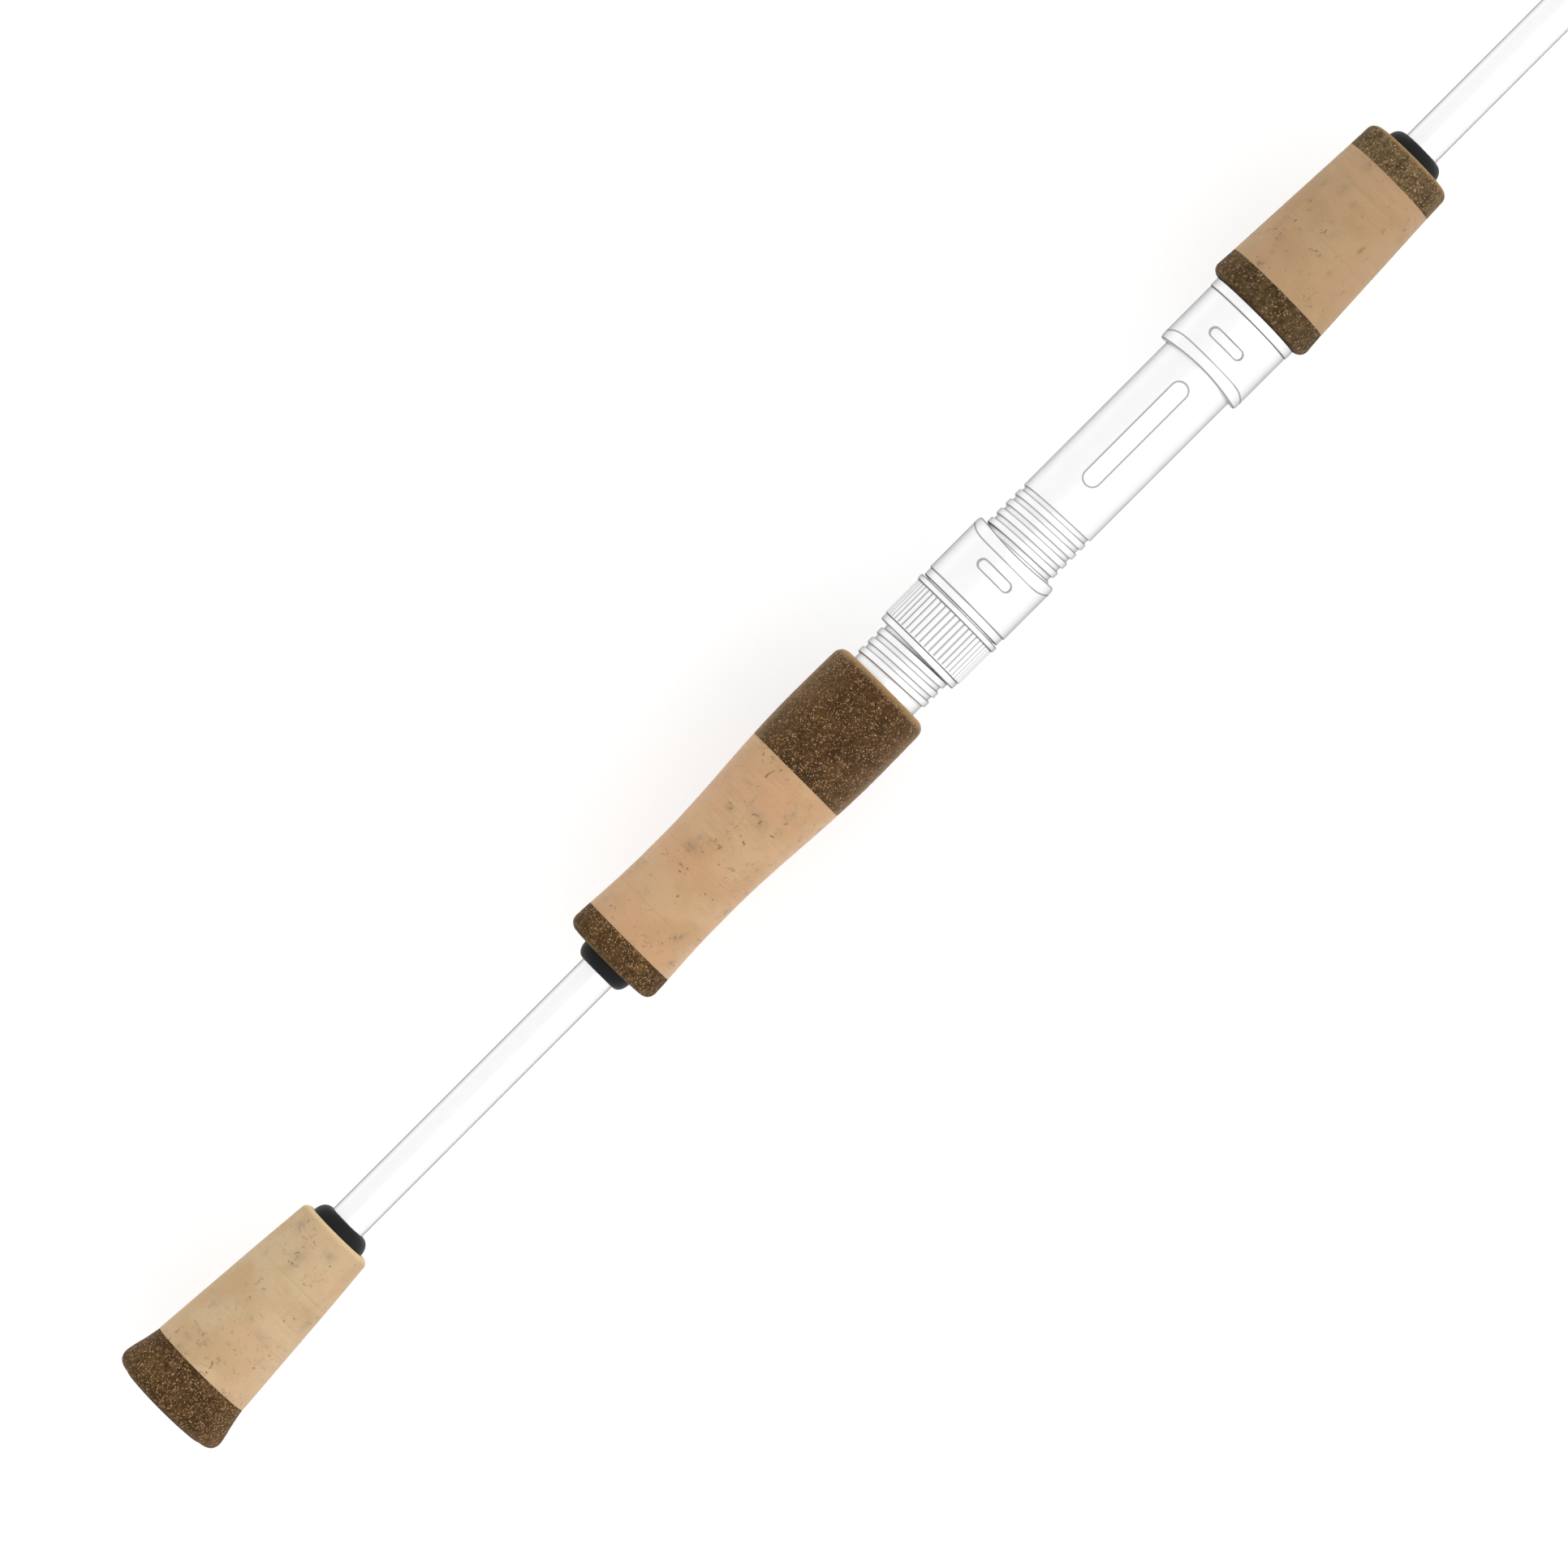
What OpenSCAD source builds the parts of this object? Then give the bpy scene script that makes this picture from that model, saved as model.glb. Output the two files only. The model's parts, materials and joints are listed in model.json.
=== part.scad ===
// Light two-piece spinning rod with a split cork handle and a threaded reel seat.
//
// Frame: +X runs along the rod from the butt to the tip, with X = 0 on the butt's end face.
// The rod's centre line is the X axis. +Z is the side of the seat with the windows and the
// long recess. The reel foot, the hood pockets and the line guides are on the -Z side.
// All sizes are in millimetres.

/* [Rod] */
// Overall length, butt face to tip ring
rod_length = 1676; // [1650:1:1700]
// Where the tip section's socket begins
ferrule_x = 825; // [815:1:840]
// How far the butt section reaches into the socket
ferrule_overlap = 55; // [45:1:60]

/* [Blank] */
// Radius of the blank through the handle
blank_r = 3.95; // [3.85:0.05:4.0]
// Where the blank starts to taper
taper_x = 390; // [370:5:420]
// Radius of the blank at the tip
tip_r = 0.85; // [0.8:0.05:0.95]
// Radius outside the socket at its mouth
socket_r = 3.55; // [3.5:0.05:3.7]
// Radial clearance of the slip joint
ferrule_gap = 0.03; // [0.01:0.01:0.08]

/* [Handle] */
// Radius of the flare at the butt
butt_flare_r = 13.0; // [12.6:0.1:13.4]
// Radius of the butt grip's front end
butt_front_r = 8.5; // [8.2:0.1:8.8]
// Radius of the fore grip next to the seat
fore_rear_r = 12.3; // [11.8:0.1:12.8]
// Radius of the fore grip at its front end
fore_front_r = 10.35; // [10:0.05:10.8]

/* [Reel seat] */
// Radius of the seat barrel and of its thread crests
seat_r = 8.5; // [8.4:0.05:8.5]
// Depth of the thread
thread_depth = 0.5; // [0.3:0.05:0.5]
// Radial clearance of the sliding parts on the barrel
seat_gap = 0.08; // [0.05:0.01:0.1]
// Flutes round the lock nut
nut_flutes = 48; // [36:2:50]

/* [Guides] */
// Radius of the wire in the two large guides
big_wire_r = 0.6; // [0.5:0.05:0.7]
// Radius of the wire in the small guides
small_wire_r = 0.42; // [0.35:0.01:0.5]
// Length of the cylindrical land inside each guide ring
ring_land = 1.0; // [0.8:0.1:1.2]

/* [Hidden] */

round_fn = 96;
slot_fn = 48;
wire_fn = 24;
corner_steps = 6;
wide = 60; // wider than any part of the rod, for cutting tools
margin = 1; // how far a cutting tool runs past what it cuts

natural_cork = [0.80, 0.66, 0.49];
burl_cork = [0.33, 0.25, 0.16];
light_burl = [0.45, 0.38, 0.27];
black_rubber = [0.13, 0.13, 0.14];
white_gloss = [0.93, 0.93, 0.93];
white_satin = [0.90, 0.90, 0.91];
pale_metal = [0.82, 0.83, 0.85];
dark_plastic = [0.70, 0.71, 0.73];
pale_ceramic = [0.62, 0.65, 0.68];
white_wrap = [0.86, 0.87, 0.88];
buff = [0.78, 0.72, 0.60];

// Stations of the handle along X
blank_start_x = 4;
butt_cap_x1 = 10.7;
butt_x1 = 48.3;
butt_check_x1 = 51.1;
rear_check_x0 = 120.0;
rear_x0 = 122.7;
rear_cork_x0 = 128.7;
rear_seams = [128.7, 136.5, 149.2, 161.9, 174.6];
rear_x1 = 198.9;
fore_x0 = 301.4;
fore_seams = [307.5, 320.2, 332.9, 338.1];
fore_x1 = 344.4;
fore_check_x1 = 347.0;

// Butt grip
butt_flat_r = 8.0;
butt_dome = 0.5;
butt_corner = 2.3;
butt_cork_r0 = 11.42;
butt_front_corner = 1.4;
butt_flare = [[3.2, -0.04], [6.3, -0.70], [9.5, -1.38]]; // [X, radius less the flare's]

// Rear grip: [X, radius], then its corners
rear_contour = [
    [122.7, 10.95], [126.4, 10.9], [129.6, 10.67], [132.7, 10.46], [135.9, 10.3],
    [139.0, 10.18], [142.2, 10.11], [148.5, 10.11], [151.7, 10.14], [154.8, 10.27],
    [158.0, 10.43], [161.2, 10.62], [164.3, 10.84], [167.5, 11.06], [170.6, 11.28],
    [173.8, 11.46], [177.0, 11.62], [180.1, 11.72], [183.3, 11.78], [188.0, 11.78],
    [192.8, 11.72], [198.9, 11.62]];
rear_corner = 2.1;
rear_front_corner = 2.2;
contour_step = 1.6;

// Fore grip
fore_full_x = 341; // where the front corner begins
fore_contour = [[fore_x0, fore_rear_r], [fore_full_x, fore_front_r]];
fore_corner = 2.0;

// Winding checks
check_r = 6.4;
rear_check_r = 6.0;
check_lip_r = 4.15;

// Reel seat barrel
barrel_x0 = 192.9;
barrel_x1 = fore_x0;
barrel_bore_r = 5.75;
thread_x0 = 200.3;
thread_pitch = 2.54;
thread_turns = 18;
groove_top = 1.24;
groove_bottom = 0.8;
root_r = seat_r - thread_depth;
thread_flat_z = -7.7; // flat through the thread that keys the sliding hood
bed_z = -7.5; // bed for the reel's foot
bed_x0 = 237.5;
bed_x1 = 284.0;
recess_x0 = 254.1;
recess_x1 = 282.0;
recess_w = 4.06;
recess_z = 8.1;
arbor_length = 13;
arbor_x = [201.5, 241, 283];

// Hoods: a thin metal shell over a plastic liner
hood_r = 10.15;
shell_wall = 0.6;
slide_x0 = 221.8;
slide_x1 = 235.7;
fixed_x0 = 285.3;
fixed_x1 = 299.2;
trim_r = 10.3;
lip_drop = 0.35;
lip_length = 1.8;
mouth_sweep_r = 56; // the mouths are swept back above and below
pocket_z = -7.4;
pocket_r = 5.4;
pocket_wall = 0.9;
pocket_straight = 6.0;
pocket_taper = 6.2;
pocket_end_r = 2.0;
window_w = 2.55;
window_span = 8.8;
window_floor_z = 7;
window_drop = 0.25;
slide_window_x = 229.2;
fixed_window_x = 292.9;
neck_x0 = 220.0;
neck_r = 9.9;
skirt_x0 = 215.2;
skirt_r = 9.0;
bead_x1 = 216.2;
bead_r = 9.18;

// Lock nut
nut_x0 = 207.9;
nut_rear_x1 = 209.45;
nut_front_x0 = 218.5;
nut_x1 = 219.7;
nut_rear_r = 9.8;
nut_r = 10.05;
nut_front_r = 10.33;
nut_chamfer = 0.25;
flute_r = 0.42;
flute_centre_r = 10.2;
nut_counterbore_x0 = 214.9;
nut_counterbore_r = 9.08;
nut_groove_x1 = 216.5;
nut_groove_r = 9.28;

// Blank walls
butt_wall = 0.85;
tip_wall_butt = 0.7;
tip_wall_tip = 0.5;
butt_x_end = ferrule_x + ferrule_overlap;
socket_depth = ferrule_overlap + margin;
tip_x = rod_length - 1.8;

// Wraps
wrap_over = 0.3;
wrap_end_over = 0.1;
wrap_shoulder = 1.4;
wrap_shoulder_share = 0.7; // height reached half-way up a shoulder
foot_cover = 0.95;
ferrule_wrap_length = 18;

// Guides: [distance of the ring from the rod's tip, ring size, inside diameter,
//          height of the ring's centre below the blank, ring width, reach of the legs, foot length]
guides = [
    [965, 20, 15.6, 22, 2.6, 10.5, 14],
    [725, 12, 8.7, 13, 2.0, 7, 11],
    [520, 8, 5.2, 9, 1.6, 4.2, 10],
    [355, 7, 4.6, 8, 1.6, 3.8, 9.5],
    [216, 6, 3.7, 6.5, 1.5, 3.4, 9],
    [100, 6, 3.7, 6.5, 1.5, 3.4, 9]];
band_wall = 0.45;
band_share = 0.8;
ring_flank = 0.45;
side_leg_angle = 58;
leg_sink = 0.2;
leg_spread = 0.8; // spacing of a pair of legs on their foot, in wire radii
foot_height = 0.7;
foot_w = 2.2;
foot_w_small = 1.5;
foot_toe_share = 0.5;
foot_toe_height = 0.15;
foot_heel = 0.9;
wrap_from_leg = 2.0;
wrap_past_toe = 2.6;

// Tip top
tip_tube_length = 11;
tip_tube_r = 1.5;
tip_ring_x = rod_length - 0.8;
tip_ring_z = -3.0;
tip_ring_r = 3.0;
tip_ring_id = 3.7;
tip_ring_w = 1.6;
tip_wire_r = 0.4;
tip_leg_back = 7.5;
tip_leg_angle = 100;
tip_wrap_length = 8;

// ---------------------------------------------------------------- blank radii

function butt_section_r(x) = lookup(x, [[0, blank_r], [taper_x, blank_r], [tip_x, tip_r]]);
function tip_section_r(x) = lookup(x, [[ferrule_x, socket_r], [tip_x, tip_r]]);
function surface_r(x) = x < ferrule_x ? butt_section_r(x) : tip_section_r(x);

// ---------------------------------------------------------------- shared shapes

// Turns an outline of [x, radius] points about the X axis, with a bore through it
module turned(outline, bore) {
    first = outline[0][0];
    last = outline[len(outline) - 1][0];
    rotate([0, 90, 0])
        rotate_extrude($fn = round_fn)
            polygon(concat([for (p = outline) [p[1], p[0]]], [[bore, last], [bore, first]]));
}

module rod_cylinder(x0, x1, r) {
    translate([x0, 0, 0]) rotate([0, 90, 0]) cylinder(r = r, h = x1 - x0, $fn = round_fn);
}

// A strip of the blank's outside between two stations, for cutting glued parts to fit
module blank_core(x0, x1) {
    translate([x0, 0, 0]) rotate([0, 90, 0])
        cylinder(r1 = surface_r(x0), r2 = surface_r(x1), h = x1 - x0, $fn = round_fn);
}

function corner_rear(x, r, c) =
    [for (i = [0:corner_steps]) let(a = 90 * i / corner_steps) [x + c - c * cos(a), r - c + c * sin(a)]];
function corner_front(x, r, c) =
    [for (i = [0:corner_steps]) let(a = 90 * i / corner_steps) [x - c + c * sin(a), r - c + c * cos(a)]];

// Points of a contour table between two stations
function contour(table, x0, x1) = let(n = ceil((x1 - x0) / contour_step))
    [for (i = [0:n]) let(x = x0 + (x1 - x0) * i / n) [x, lookup(x, table)]];

function dome(x0, x1, r0, r1) =
    [for (i = [0:corner_steps]) let(a = 90 * i / corner_steps)
        [x0 + (x1 - x0) * sin(a), r1 + (r0 - r1) * cos(a)]];

// A straight wire between two points
module strut(p, q, r) {
    d = q - p;
    translate(p) rotate([0, acos(d[2] / norm(d)), atan2(d[1], d[0])])
        cylinder(r = r, h = norm(d), $fn = wire_fn);
}

// A slot with round ends, its length along Y, standing on the XY plane
module cross_slot(w, span, h) {
    linear_extrude(height = h) {
        square([w, span - w], center = true);
        for (s = [-1, 1]) translate([0, s * (span - w) / 2]) circle(d = w, $fn = slot_fn);
    }
}

// ---------------------------------------------------------------- butt grip

function butt_cork_r(x) = lookup(x, [[butt_cap_x1, butt_cork_r0], [butt_x1, butt_front_r]]);

module butt_cap_burl() {
    outline = concat(
        [[0, 0], [0, butt_flat_r]],
        corner_rear(butt_dome, butt_flare_r, butt_corner),
        [for (p = butt_flare) [p[0], butt_flare_r + p[1]]],
        [[butt_cap_x1, butt_cork_r0], [butt_cap_x1, 0]]);
    color(burl_cork) difference() {
        rotate([0, 90, 0]) rotate_extrude($fn = round_fn) polygon([for (p = outline) [p[1], p[0]]]);
        rod_cylinder(blank_start_x, butt_x1, blank_r);
    }
}

module butt_cork_ring(i) {
    length = (butt_x1 - butt_cap_x1) / 3;
    x0 = butt_cap_x1 + i * length;
    x1 = x0 + length;
    color(natural_cork) turned(
        i < 2 ? [[x0, butt_cork_r(x0)], [x1, butt_cork_r(x1)]]
              : concat([[x0, butt_cork_r(x0)]], corner_front(x1, butt_front_r, butt_front_corner)),
        blank_r);
}

module butt_cork_ring_1() { butt_cork_ring(0); }
module butt_cork_ring_2() { butt_cork_ring(1); }
module butt_cork_ring_3() { butt_cork_ring(2); }

module butt_winding_check() {
    color(black_rubber) turned(dome(butt_x1, butt_check_x1, check_r, check_lip_r), blank_r);
}

// ---------------------------------------------------------------- rear grip

module rear_winding_check() {
    arch = dome(rear_x0, rear_check_x0, rear_check_r, check_lip_r);
    last = len(arch) - 1;
    color(black_rubber) turned([for (i = [0:last]) arch[last - i]], blank_r);
}

module rear_burl_ring() {
    outline = concat(
        corner_rear(rear_x0, lookup(rear_x0, rear_contour), rear_corner),
        contour(rear_contour, rear_x0 + 2 * rear_corner, rear_cork_x0));
    color(burl_cork) turned(outline, blank_r);
}

module rear_cork_ring(i) {
    color(natural_cork) turned(contour(rear_contour, rear_seams[i], rear_seams[i + 1]), blank_r);
}

module rear_cork_ring_1() { rear_cork_ring(0); }
module rear_cork_ring_2() { rear_cork_ring(1); }
module rear_cork_ring_3() { rear_cork_ring(2); }
module rear_cork_ring_4() { rear_cork_ring(3); }

// The collar takes the plain rear end of the seat barrel in a counterbore
module rear_burl_collar() {
    outline = concat(
        contour(rear_contour, rear_seams[4], rear_x1 - 2 * rear_front_corner),
        corner_front(rear_x1, lookup(rear_x1, rear_contour), rear_front_corner));
    color(burl_cork) difference() {
        turned(outline, blank_r);
        rod_cylinder(barrel_x0, barrel_x1, root_r);
    }
}

// ---------------------------------------------------------------- fore grip

module fore_burl_ring_rear() {
    outline = concat(
        corner_rear(fore_x0, lookup(fore_x0, fore_contour), fore_corner),
        [[fore_seams[0], lookup(fore_seams[0], fore_contour)]]);
    color(light_burl) turned(outline, blank_r);
}

module fore_cork_ring(i) {
    x0 = fore_seams[i];
    x1 = fore_seams[i + 1];
    color(natural_cork)
        turned([[x0, lookup(x0, fore_contour)], [x1, lookup(x1, fore_contour)]], blank_r);
}

module fore_cork_ring_1() { fore_cork_ring(0); }
module fore_cork_ring_2() { fore_cork_ring(1); }
module fore_cork_ring_3() { fore_cork_ring(2); }

module fore_burl_ring_front() {
    outline = concat(
        [[fore_seams[3], lookup(fore_seams[3], fore_contour)]],
        corner_front(fore_x1, lookup(fore_x1, fore_contour), fore_corner));
    color(light_burl) turned(outline, blank_r);
}

module fore_winding_check() {
    color(black_rubber) turned(dome(fore_x1, fore_check_x1, check_r, check_lip_r), blank_r);
}

// ---------------------------------------------------------------- reel seat barrel

// Outline of the barrel: a plain spigot, the thread's crests and roots, then the smooth tube
function barrel_outline() = concat(
    [[barrel_x0, root_r], [rear_x1, root_r], [rear_x1, seat_r]],
    [for (i = [0:thread_turns - 1]) let(x = thread_x0 + i * thread_pitch) each [
        [x - groove_top / 2, seat_r], [x - groove_bottom / 2, root_r],
        [x + groove_bottom / 2, root_r], [x + groove_top / 2, seat_r]]],
    [[barrel_x1, seat_r]]);

module seat_barrel() {
    bed_length = bed_x1 - bed_x0;
    recess_length = recess_x1 - recess_x0;
    pocket_x = fixed_x0 + pocket_straight;
    color(white_satin) difference() {
        turned(barrel_outline(), barrel_bore_r);
        translate([rear_x1, -wide / 2, thread_flat_z - wide]) cube([pocket_x - rear_x1, wide, wide]);
        translate([bed_x0, -wide / 2, bed_z - wide]) cube([bed_length, wide, wide]);
        translate([recess_x0 + recess_length / 2, 0, recess_z])
            rotate([0, 0, 90]) cross_slot(recess_w, recess_length, wide);
    }
}

module seat_arbor(i) {
    color(buff) turned([[arbor_x[i], barrel_bore_r], [arbor_x[i] + arbor_length, barrel_bore_r]], blank_r);
}

module seat_arbor_rear() { seat_arbor(0); }
module seat_arbor_middle() { seat_arbor(1); }
module seat_arbor_front() { seat_arbor(2); }

// ---------------------------------------------------------------- hoods

// Swelling under a hood for the reel's foot, drawn with its mouth at X = 0 and running to -X
module foot_swelling(wall) {
    r = pocket_r + wall;
    translate([0, 0, pocket_z]) rotate([0, -90, 0]) {
        cylinder(r = r, h = pocket_straight, $fn = round_fn);
        translate([0, 0, pocket_straight])
            cylinder(r1 = r, r2 = pocket_end_r + wall, h = pocket_taper + wall, $fn = round_fn);
    }
}

// Everything behind a mouth that is swept back above and below
module mouth_sweep(x0) {
    translate([-mouth_sweep_r, wide / 2, 0]) rotate([90, 0, 0])
        cylinder(r = mouth_sweep_r, h = wide, $fn = round_fn);
    translate([x0 - wide, -wide / 2, -wide / 2]) cube([wide, wide, wide]);
}

// Shell of a hood of a given length, with its mouth at X = 0 and its tail at -length
module hood_shell(length, window_x) {
    inner_r = hood_r - shell_wall;
    intersection() {
        difference() {
            union() {
                turned([[-length, hood_r], [-lip_length, hood_r], [0, hood_r - lip_drop]], inner_r);
                intersection() {
                    foot_swelling(pocket_wall + shell_wall);
                    rod_cylinder(-length, 0, wide);
                }
            }
            rod_cylinder(-length - margin, margin, inner_r);
            foot_swelling(pocket_wall);
            translate([window_x, 0, window_floor_z]) cross_slot(window_w, window_span, wide);
        }
        mouth_sweep(-length / 2);
    }
}

// Liner of a hood: it fills the shell and the shell's window, and clears the barrel
module hood_liner(length, window_x, bore, flat_z) {
    inner_r = hood_r - shell_wall;
    intersection() {
        difference() {
            union() {
                rod_cylinder(-length, 0, inner_r);
                intersection() {
                    foot_swelling(pocket_wall);
                    rod_cylinder(-length, 0, wide);
                }
                intersection() {
                    translate([window_x, 0, window_floor_z]) cross_slot(window_w, window_span, wide);
                    rod_cylinder(-length, 0, hood_r - window_drop);
                }
            }
            difference() {
                rod_cylinder(-length - margin, margin, bore);
                translate([-length - wide / 2, -wide / 2, flat_z - wide]) cube([2 * wide, wide, wide]);
            }
            foot_swelling(0);
        }
        mouth_sweep(-length / 2);
    }
}

module front_hood_shell() {
    color(pale_metal) translate([fixed_x0, 0, 0]) mirror([1, 0, 0])
        hood_shell(fixed_x1 - fixed_x0, fixed_x0 - fixed_window_x);
}

// The barrel passes through this liner with no gap: its flat ends where the pocket narrows
module front_hood_liner() {
    pocket_x = fixed_x0 + pocket_straight;
    color(dark_plastic) difference() {
        translate([fixed_x0, 0, 0]) mirror([1, 0, 0])
            hood_liner(fixed_x1 - fixed_x0, fixed_x0 - fixed_window_x, seat_r, thread_flat_z);
        rod_cylinder(pocket_x, fixed_x1 + margin, seat_r);
    }
}

module front_trim_ring() {
    color(pale_metal) turned(
        [[fixed_x1, trim_r - nut_chamfer], [fixed_x1 + nut_chamfer, trim_r],
         [fore_x0 - nut_chamfer, trim_r], [fore_x0, trim_r - nut_chamfer]], seat_r);
}

module sliding_hood_shell() {
    color(pale_metal) translate([slide_x1, 0, 0])
        hood_shell(slide_x1 - slide_x0, slide_window_x - slide_x1);
}

// This liner ends in a neck and a skirt with a bead, on which the lock nut turns
module sliding_hood_liner() {
    bore = seat_r + seat_gap;
    color(dark_plastic) {
        translate([slide_x1, 0, 0])
            hood_liner(slide_x1 - slide_x0, slide_window_x - slide_x1, bore, thread_flat_z - seat_gap);
        turned([[skirt_x0, bead_r], [bead_x1, bead_r], [bead_x1, skirt_r], [neck_x0, skirt_r],
                [neck_x0, neck_r], [slide_x0, neck_r]], bore);
    }
}

module lock_nut() {
    bore = seat_r + seat_gap;
    outline = [
        [nut_x0, nut_rear_r - nut_chamfer], [nut_x0 + nut_chamfer, nut_rear_r],
        [nut_rear_x1, nut_rear_r], [nut_rear_x1, nut_r],
        [nut_front_x0, nut_r], [nut_front_x0, nut_front_r],
        [nut_x1 - nut_chamfer, nut_front_r], [nut_x1, nut_front_r - nut_chamfer]];
    color(pale_metal) difference() {
        turned(outline, bore);
        rod_cylinder(nut_counterbore_x0, nut_x1 + margin, nut_counterbore_r);
        rod_cylinder(nut_counterbore_x0, nut_groove_x1, nut_groove_r);
        for (i = [0:nut_flutes - 1]) rotate([360 * i / nut_flutes, 0, 0])
            translate([nut_rear_x1, 0, flute_centre_r]) rotate([0, 90, 0])
                cylinder(r = flute_r, h = nut_front_x0 - nut_rear_x1, $fn = wire_fn);
    }
}

// ---------------------------------------------------------------- blank

module blank_butt_section() {
    outer = [[blank_start_x, blank_r], [taper_x, blank_r], [butt_x_end, butt_section_r(butt_x_end)]];
    inner = [for (i = [2:-1:0]) [outer[i][0], outer[i][1] - butt_wall]];
    color(white_gloss) rotate([0, 90, 0]) rotate_extrude($fn = round_fn)
        polygon([for (p = concat(outer, inner)) [p[1], p[0]]]);
}

module blank_tip_section() {
    socket_end = ferrule_x + socket_depth;
    outline = [
        [ferrule_x, socket_r], [tip_x, tip_r],
        [tip_x, tip_r - tip_wall_tip], [socket_end, tip_section_r(socket_end) - tip_wall_butt],
        [socket_end, butt_section_r(socket_end) + ferrule_gap],
        [ferrule_x, butt_section_r(ferrule_x) + ferrule_gap]];
    color(white_gloss) rotate([0, 90, 0]) rotate_extrude($fn = round_fn)
        polygon([for (p = outline) [p[1], p[0]]]);
}

// A coated thread wrap: rounded shoulders, standing a little over the blank
module wrap_sleeve(x0, x1, over) {
    turned([
        [x0, surface_r(x0) + wrap_end_over],
        [x0 + wrap_shoulder / 2, surface_r(x0) + wrap_end_over + (over - wrap_end_over) * wrap_shoulder_share],
        [x0 + wrap_shoulder, surface_r(x0) + over],
        [x1 - wrap_shoulder, surface_r(x1) + over],
        [x1 - wrap_shoulder / 2, surface_r(x1) + wrap_end_over + (over - wrap_end_over) * wrap_shoulder_share],
        [x1, surface_r(x1) + wrap_end_over]], 0);
}

module ferrule_wrap() {
    x1 = ferrule_x + ferrule_wrap_length;
    color(white_wrap) difference() {
        wrap_sleeve(ferrule_x, x1, wrap_over);
        blank_core(ferrule_x, x1);
    }
}

// ---------------------------------------------------------------- guides

function is_double(g) = g[1] > 10;
function guide_x(g) = rod_length - g[0];
function ring_z(g) = -(surface_r(guide_x(g)) + g[3]);
function wire_r(g) = is_double(g) ? big_wire_r : small_wire_r;

// A guide's foot: flat-sided, thinning and narrowing to its toe; side -1 points to the butt
module guide_foot(g, side) {
    w = is_double(g) ? foot_w : foot_w_small;
    heel = g[5] - foot_heel;
    toe = g[5] + g[6];
    z = surface_r(guide_x(g) + side * toe) - foot_height / 2;
    top = surface_r(guide_x(g) + side * g[5]) + foot_height;
    toe_top = surface_r(guide_x(g) + side * toe) + foot_toe_height;
    translate([guide_x(g), 0, 0]) intersection() {
        translate([0, 0, -wide / 2]) linear_extrude(height = wide)
            polygon([[side * heel, -w / 2], [side * toe, -w * foot_toe_share / 2],
                     [side * toe, w * foot_toe_share / 2], [side * heel, w / 2]]);
        translate([0, wide / 2, 0]) rotate([90, 0, 0]) linear_extrude(height = wide)
            polygon([[side * heel, -z], [side * toe, -z], [side * toe, -toe_top], [side * heel, -top]]);
    }
}

module guide_feet(g) {
    guide_foot(g, 1);
    if (is_double(g)) guide_foot(g, -1);
}

// Ceramic ring with a short cylindrical land and sloping flanks
module guide_ring(i) {
    g = guides[i];
    outer_r = g[1] / 2 - band_wall;
    flank_r = g[2] / 2 + ring_flank * (outer_r - g[2] / 2);
    color(pale_ceramic) translate([guide_x(g), 0, ring_z(g)]) rotate([0, 90, 0])
        rotate_extrude($fn = round_fn)
            polygon([[g[2] / 2, -ring_land / 2], [flank_r, -g[4] / 2], [outer_r, -g[4] / 2],
                     [outer_r, g[4] / 2], [flank_r, g[4] / 2], [g[2] / 2, ring_land / 2]]);
}

module guide_frame(i) {
    g = guides[i];
    x = guide_x(g);
    band_r = g[1] / 2;
    leg_r = band_r - leg_sink;
    foot_z = -(surface_r(x) + foot_height / 2);
    side = is_double(g) ? -1 : 1;
    reach = g[5] + g[6] + margin;
    color(pale_metal) difference() {
        union() {
            translate([x - band_share * g[4] / 2, 0, ring_z(g)]) rotate([0, 90, 0])
                cylinder(r = band_r, h = band_share * g[4], $fn = round_fn);
            for (s = [-1, 1]) strut(
                [x, s * leg_r * sin(side_leg_angle), ring_z(g) + leg_r * cos(side_leg_angle)],
                [x + side * g[5], s * wire_r(g) * leg_spread, foot_z], wire_r(g));
            if (is_double(g)) strut([x, 0, ring_z(g) + leg_r], [x + g[5], 0, foot_z], wire_r(g));
            guide_feet(g);
        }
        translate([x - wide / 2, 0, ring_z(g)]) rotate([0, 90, 0])
            cylinder(r = band_r - band_wall, h = wide, $fn = round_fn);
        blank_core(x - reach, x + reach);
    }
}

module guide_wraps(i) {
    g = guides[i];
    sides = is_double(g) ? [-1, 1] : [1];
    x = guide_x(g);
    reach = g[5] + g[6] + wrap_past_toe;
    near = g[5] + wrap_from_leg;
    color(white_wrap) difference() {
        for (s = sides) wrap_sleeve(
            s > 0 ? x + near : x - reach, s > 0 ? x + reach : x - near, foot_cover);
        blank_core(x - reach - margin, x + reach + margin);
        guide_feet(g);
    }
}

module guide_1_frame() { guide_frame(0); }
module guide_1_ring() { guide_ring(0); }
module guide_1_wraps() { guide_wraps(0); }
module guide_2_frame() { guide_frame(1); }
module guide_2_ring() { guide_ring(1); }
module guide_2_wraps() { guide_wraps(1); }
module guide_3_frame() { guide_frame(2); }
module guide_3_ring() { guide_ring(2); }
module guide_3_wraps() { guide_wraps(2); }
module guide_4_frame() { guide_frame(3); }
module guide_4_ring() { guide_ring(3); }
module guide_4_wraps() { guide_wraps(3); }
module guide_5_frame() { guide_frame(4); }
module guide_5_ring() { guide_ring(4); }
module guide_5_wraps() { guide_wraps(4); }
module guide_6_frame() { guide_frame(5); }
module guide_6_ring() { guide_ring(5); }
module guide_6_wraps() { guide_wraps(5); }

// ---------------------------------------------------------------- tip top

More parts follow.
